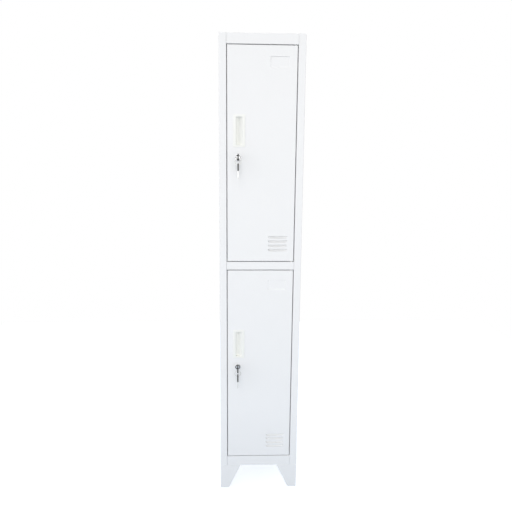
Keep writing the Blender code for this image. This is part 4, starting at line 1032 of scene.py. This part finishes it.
@dataclass
class Pivots(Assembly):
    """The fixed lower hinge pin with its washer and bush, and the sprung bolt at the top."""

    shaft: float = 0.0025
    hole: float = 0.0028
    point: float = 0.0008
    head_thickness: float = 0.0012
    bush_wall: float = 0.001
    flange: float = 0.001
    collar: float = 0.0034
    collar_thickness: float = 0.0015
    knob_length: float = 0.006
    knurls: int = 24
    knurl_depth: float = 0.0003
    knurl_steps: int = 6
    round_edge: float = 0.0003
    round_steps: int = 72
    wire_radius: float = 0.0003
    wire_sides: int = 10
    turns: int = 7
    turn_steps: int = 40
    close_share: float = 0.35
    bolt_travel: float = 0.007

    def lathe(
        self, solid: str, profile: Pairs, ends: Ends, finish: Finish, body: str, knurls: int = 0
    ) -> None:
        """Turn a profile of radii and heights above a solid's foot, its corners rounded and its knob knurled.

        The knob is everything wider than the collar. Its radius at angle t is r - d (1 - cos nt) / 2, which
        leaves it round for n = 0.

        Args:
            solid: The solid that gives the place and that the piece stands for.
            profile: Rows of radius and height.
            ends: Whether the profile closes on the axis or on itself.
            finish: What the surface is.
            body: The moving body that the piece rides on.
            knurls: How many ridges the knob has.
        """
        rows = rounded_profile(profile, self.round_edge)
        steps = max(knurls * self.knurl_steps, self.round_steps)
        grid = turned(rows, Axis.UP, (0, 0, 0), steps)
        knob = (rows[:, 0] > self.collar)[:, None]
        cut = self.knurl_depth * (1 - np.cos(knurls * full_turn(steps))) / 2 * knob
        grid[..., :2] *= (1 - cut / np.maximum(rows[:, :1], self.collar))[..., None]
        space = Space(solid)
        foot = np.array([*space.middle[:2], space.low[2]])
        dress(surface(solid + "_turned", grid + foot, ends), finish, body, solid)

    def ring_profile(self, height: float, outer: Pairs) -> Pairs:
        """Close a ring's outer profile through its hole, starting and ending half way up the bore."""
        bore = (self.hole, height / 2)
        return [bore, (self.hole, 0), *outer, (self.hole, height), bore]

    def pin(self) -> None:
        """Make the lower pin with its flat head and domed point, the washer round it and the door's bush."""
        solid = self.node("pivot_pin")
        width, _, height = Space(solid).size
        stem = [(width / 2, 0), (width / 2, self.head_thickness), (self.shaft, self.head_thickness)]
        tip = [(self.shaft, height - self.point), (self.shaft - self.point, height), (0, height)]
        self.lathe(solid, [(0, 0), *stem, *tip], Ends.CAPPED, ZINC, "cabinet")
        solid = self.node("hinge_washer")
        width, _, height = Space(solid).size
        profile = self.ring_profile(height, [(width / 2, 0), (width / 2, height)])
        self.lathe(solid, profile, Ends.JOINED, NYLON, "cabinet")
        solid = self.node("hinge_bush")
        width, _, height = Space(solid).size
        sleeve, shoulder = self.hole + self.bush_wall, height - self.flange
        outer = [(sleeve, 0), (sleeve, shoulder), (width / 2, shoulder), (width / 2, height)]
        self.lathe(solid, self.ring_profile(height, outer), Ends.JOINED, NYLON, self.node("door"))

    def bolt(self) -> None:
        """Make the sprung bolt: a knurled knob, a stem, the collar over the spring and a domed point."""
        solid = self.node("top_pivot_bolt")
        space = Space(solid)
        knob, height = space.size[0] / 2, space.size[2]
        under_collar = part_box(self.node("top_pivot_spring"))[1].z + SEAT_GAP - space.low[2]
        over_collar = under_collar + self.collar_thickness
        profile = [(0, 0), (knob, 0), (knob, self.knob_length), (self.shaft, self.knob_length)]
        profile += [(self.shaft, under_collar), (self.collar, under_collar), (self.collar, over_collar)]
        profile += [(self.shaft, over_collar), (self.shaft, height - self.point)]
        profile += [(self.shaft - self.point, height), (0, height)]
        self.lathe(solid, profile, Ends.CAPPED, ZINC, self.node("top_bolt"), self.knurls)

    def spring(self) -> None:
        """Make the compression spring as one helix.

        The height rises with the turn as h (s - k sin(2 pi s) / 2 pi), slower at both ends.
        """
        solid = self.node("top_pivot_spring")
        space = Space(solid)
        radius = space.size[0] / 2 - self.wire_radius
        share = np.linspace(0, 1, self.turns * self.turn_steps)
        eased = share - np.sin(2 * np.pi * share) / (2 * np.pi) * self.close_share
        angle = 2 * np.pi * self.turns * share
        outward = np.column_stack([np.cos(angle), np.sin(angle), np.zeros(len(angle))])
        foot = np.array([*space.middle[:2], space.low[2] + self.wire_radius])
        rise = (space.size[2] - self.wire_radius * 2) * eased
        path = foot + outward * radius + np.column_stack([np.zeros((len(angle), 2)), rise])
        grid = wire(path, outward, self.wire_radius, self.wire_radius, self.wire_sides)
        piece = dress(surface(self.node("bolt_spring"), grid, Ends.CAPPED), ZINC, self.node("door"), solid)
        self.node("top_bolt_slide")
        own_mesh(piece)

    def build(self) -> None:
        """Make the turned pieces and the spring, and smooth the folded bracket."""
        self.pin()
        self.bolt()
        self.spring()
        smoothed(ZINC, self.node("door"), self.node("top_pivot_bracket"))


@dataclass
class Fittings(Assembly):
    """The clothes rail with its sockets, and the door's rubber buffers."""

    rail_wall: float = 0.001
    rail_steps: int = 64
    edge: float = 0.0005
    flange: float = 0.0016
    bore: float = 0.0083
    cup_wall: float = 0.0022
    cup_steps: int = 72
    rivet_radius: float = 0.0011
    rivet_height: float = 0.0005
    rivet_angles: tuple[float, ...] = (90.0, 210.0, 330.0)
    rivet_steps: int = 24
    buffer_edge: float = 0.0011
    buffer_back_edge: float = 0.0002
    buffer_hollow_shares: tuple[tuple[float, float], ...] = ((0.4, 0.02), (0.0, 0.06))
    buffer_steps: int = 48

    def rail(self) -> None:
        """Make the rail as a tube with rounded ends."""
        solid = self.node("clothes_rail")
        space = Space(solid)
        radius, half = space.size[2] / 2, space.size[0] / 2
        inner, eased = radius - self.rail_wall, radius - self.edge
        outside = [(radius, -half + self.edge), (radius, half - self.edge), (eased, half)]
        profile = np.array([*outside, (inner, half), (inner, -half), (eased, -half)])
        grid = turned(profile, Axis.ACROSS, space.middle, self.rail_steps)
        dress(surface(self.node("rail_tube"), grid, Ends.JOINED), ZINC, "cabinet", solid)

    def buffer(self, end: str) -> None:
        """Make a rubber buffer with a rounded edge and a shallow hollow in its face.

        Args:
            end: The end of the door that it meets, bottom or top.
        """
        solid = self.node(end + "_buffer")
        space = Space(solid)
        front, back = space.low[1], space.high[1]
        radius, edge = space.size[0] / 2, self.buffer_back_edge
        insets, drops = quarter(self.buffer_edge)
        rear = [(0, back), (radius - edge, back), (radius, back - edge)]
        rim = np.column_stack([radius - insets, front + drops])
        face = [(radius * out, front + space.size[1] * sunk) for out, sunk in self.buffer_hollow_shares]
        centre = (space.middle[0], 0.0, space.middle[2])
        grid = turned(np.vstack([rear, rim, face]), Axis.INWARDS, centre, self.buffer_steps)
        dress(surface(solid + "_pad", grid, Ends.CAPPED), RUBBER, "cabinet", solid)

    def socket(self, end: str) -> None:
        """Make a socket on a side wall: a flange under three rivet heads, round a cup for the rail's end.

        Args:
            end: The wall that it is on, left or right.
        """
        solid = self.node(end + "_rail_socket")
        space = Space(solid)
        inwards, wall = np.ones(3), space.middle
        inwards[0], wall[0] = (1, space.low[0]) if end == "left" else (-1, space.high[0])
        radius, length = space.size[2] / 2, space.size[0]
        face, bore, cup = self.flange, self.bore, self.bore + self.cup_wall
        plate = [(0, 0), (radius, 0), (radius, face), (cup, face)]
        hollow = [(cup, length), (bore, length), (bore, face), (0, face)]
        rows = rounded_profile(plate + hollow, self.edge)
        grid = turned(rows, Axis.ACROSS, (0, 0, 0), self.cup_steps)
        dress(surface(solid + "_cup", grid * inwards + wall, Ends.CAPPED), ZINC, "cabinet", solid)
        turn = np.linspace(0, np.pi / 2, 6)
        dome = np.column_stack([self.rivet_radius * np.cos(turn), face + self.rivet_height * np.sin(turn)])
        rows = np.vstack([[(0, face / 2), (self.rivet_radius, face / 2)], dome])
        reach = (radius + cup) / 2
        for number, angle in enumerate(np.radians(self.rivet_angles)):
            middle = (0, reach * math.cos(angle), reach * math.sin(angle))
            grid = turned(rows, Axis.ACROSS, middle, self.rivet_steps)
            piece = surface(f"{solid}_rivet_{number}", grid * inwards + wall, Ends.CAPPED)
            dress(piece, ZINC, "cabinet")

    def build(self) -> None:
        """Make the rail, its sockets and the buffers."""
        self.rail()
        for end in ("left", "right"):
            self.socket(end)
        for end in ("bottom", "top"):
            self.buffer(end)


@dataclass
class Studio:
    """The camera of the photograph, soft studio light and a white floor."""

    focal_pixels: float = 513.2
    frame_pixels: float = 512.0
    sensor: float = 36.0
    place: Triple = (-0.098, -2.1415, 1.367)
    yaw: float = math.radians(2.38)
    pitch: float = math.radians(10.93)
    roll: float = math.radians(0.47)
    world_light: float = 0.43
    floor_size: float = 4.0
    floor_colour: Triple = (0.34, 0.43, 0.54)
    floor_roughness: float = 0.9
    floor_lift: float = 0.8

    def camera(self) -> None:
        """Place the camera: turned left by the yaw, tipped down by the pitch and rolled about its view."""
        data = bpy.data.cameras.new("camera")
        data.sensor_width = self.sensor
        data.lens = self.focal_pixels / self.frame_pixels * self.sensor
        camera = placed("camera", data)
        turn = Matrix.Rotation(-self.yaw, 4, "Z") @ Matrix.Rotation(math.pi / 2 - self.pitch, 4, "X")
        camera.matrix_world = Matrix.Translation(self.place) @ turn @ Matrix.Rotation(self.roll, 4, "Z")
        bpy.context.scene.camera = camera

    def lamp(self, name: str, place: Triple, aim: Triple, size: float, power: float, colour: Triple) -> None:
        """Hang a square soft box that faces a point.

        Args:
            name: The light's name.
            place: Where it hangs.
            aim: The point that it faces.
            size: The length of its sides.
            power: Its watts.
            colour: The colour of its light.
        """
        data = bpy.data.lights.new(name, "AREA")
        data.size = size
        data.energy = power
        data.color = colour
        lamp = placed(name, data)
        direction = Vector(aim) - Vector(place)
        lamp.rotation_euler = direction.to_track_quat("-Z", "Y").to_euler()
        lamp.location = place

    def sun(self, name: str, azimuth: float, elevation: float, strength: float, spread: float) -> None:
        """Add an even, far light.

        Args:
            name: The light's name.
            azimuth: Degrees to the right of the front.
            elevation: Degrees above the floor.
            strength: Its light on a surface that faces it.
            spread: Its width in degrees, which softens its shadows.
        """
        data = bpy.data.lights.new(name, "SUN")
        data.energy = strength
        data.angle = math.radians(spread)
        tip = Matrix.Rotation(math.radians(90 - elevation), 4, "X")
        placed(name, data).matrix_world = Matrix.Rotation(math.radians(azimuth), 4, "Z") @ tip

    def seen(self, graph: Graph) -> Socket:
        """Give 1 to what the eye sees directly, in a mirror or through glass, and 0 to the light itself.

        Args:
            graph: The nodes of the world or of a material.

        Returns:
            The greatest of the three rays' values.
        """
        rays = graph.add("ShaderNodeLightPath", {}).outputs
        greatest = rays["Is Camera Ray"]
        for ray in ("Is Glossy Ray", "Is Transmission Ray"):
            node = graph.add("ShaderNodeMath", {0: greatest, 1: rays[ray]}, operation="MAXIMUM")
            greatest = node.outputs[0]
        return greatest

    def surroundings(self) -> None:
        """Make the world white where it is seen, and a dimmer light on the object."""
        world = bpy.data.worlds.new("studio")
        bpy.context.scene.world = world
        graph = Graph(world)
        lit = graph.feed("Background", {"Color": WHITE, "Strength": self.world_light})
        seen = graph.add("ShaderNodeBackground", {"Color": WHITE})
        inputs = {0: self.seen(graph), 1: lit.outputs[0], 2: seen.outputs[0]}
        graph.feed("World Output", {"Surface": graph.add("ShaderNodeMixShader", inputs).outputs[0]})

    def floor(self) -> None:
        """Lay a pale floor that keeps shadows, lifted to white only where it is seen."""
        half = self.floor_size / 2
        corners = [(-half, -half, 0), (half, -half, 0), (half, half, 0), (-half, half, 0)]
        mesh = bpy.data.meshes.new("floor")
        mesh.from_pydata(corners, [], [(0, 1, 2, 3)])
        paper = bpy.data.materials.new("floor_paper")
        graph = Graph(paper)
        lift = graph.add("ShaderNodeMath", {0: self.seen(graph), 1: self.floor_lift}, operation="MULTIPLY")
        base = {"Base Color": (*self.floor_colour, 1), "Roughness": self.floor_roughness}
        glow = {"Emission Color": WHITE, "Emission Strength": lift.outputs[0]}
        graph.feed("Principled BSDF", base | glow)
        mesh.materials.append(paper)
        placed("floor", mesh)

    def build(self) -> None:
        """Set the camera, the lamps, the surroundings and the floor."""
        bpy.context.scene.view_settings.view_transform = "Standard"
        white, warm = (1, 1, 1), (1, 0.98, 0.95)
        self.camera()
        self.lamp("front", place=(0, -6, 1.2), aim=(0, 0, 1.0), size=4.0, power=84, colour=white)
        self.lamp("left", place=(-0.6, -4.2, 1.0), aim=(0, 0, 0.9), size=3.0, power=14.6, colour=warm)
        self.lamp("high", place=(0.3, -3.2, 2.6), aim=(0, 0, 1.1), size=2.6, power=11, colour=warm)
        self.sun("key", azimuth=-20, elevation=48, strength=0.58, spread=25)
        self.sun("side", azimuth=-75, elevation=10, strength=0.68, spread=60)
        self.sun("back_right", azimuth=140, elevation=30, strength=0.8, spread=40)
        self.sun("back_left", azimuth=-145, elevation=40, strength=0.6, spread=40)
        self.surroundings()
        self.floor()


def main() -> None:
    """Build the studio and every sub-assembly of the locker in order."""
    logging.basicConfig(level=logging.INFO, format="%(name)s: %(message)s")
    Studio().build()
    Shell().build()
    for tier in Tier:
        for assembly in (DoorLeaf, InsetPull, CamLock, KeyPair, Pivots, Fittings):
            assembly(tier).build()


if __name__ == "__main__":
    main()
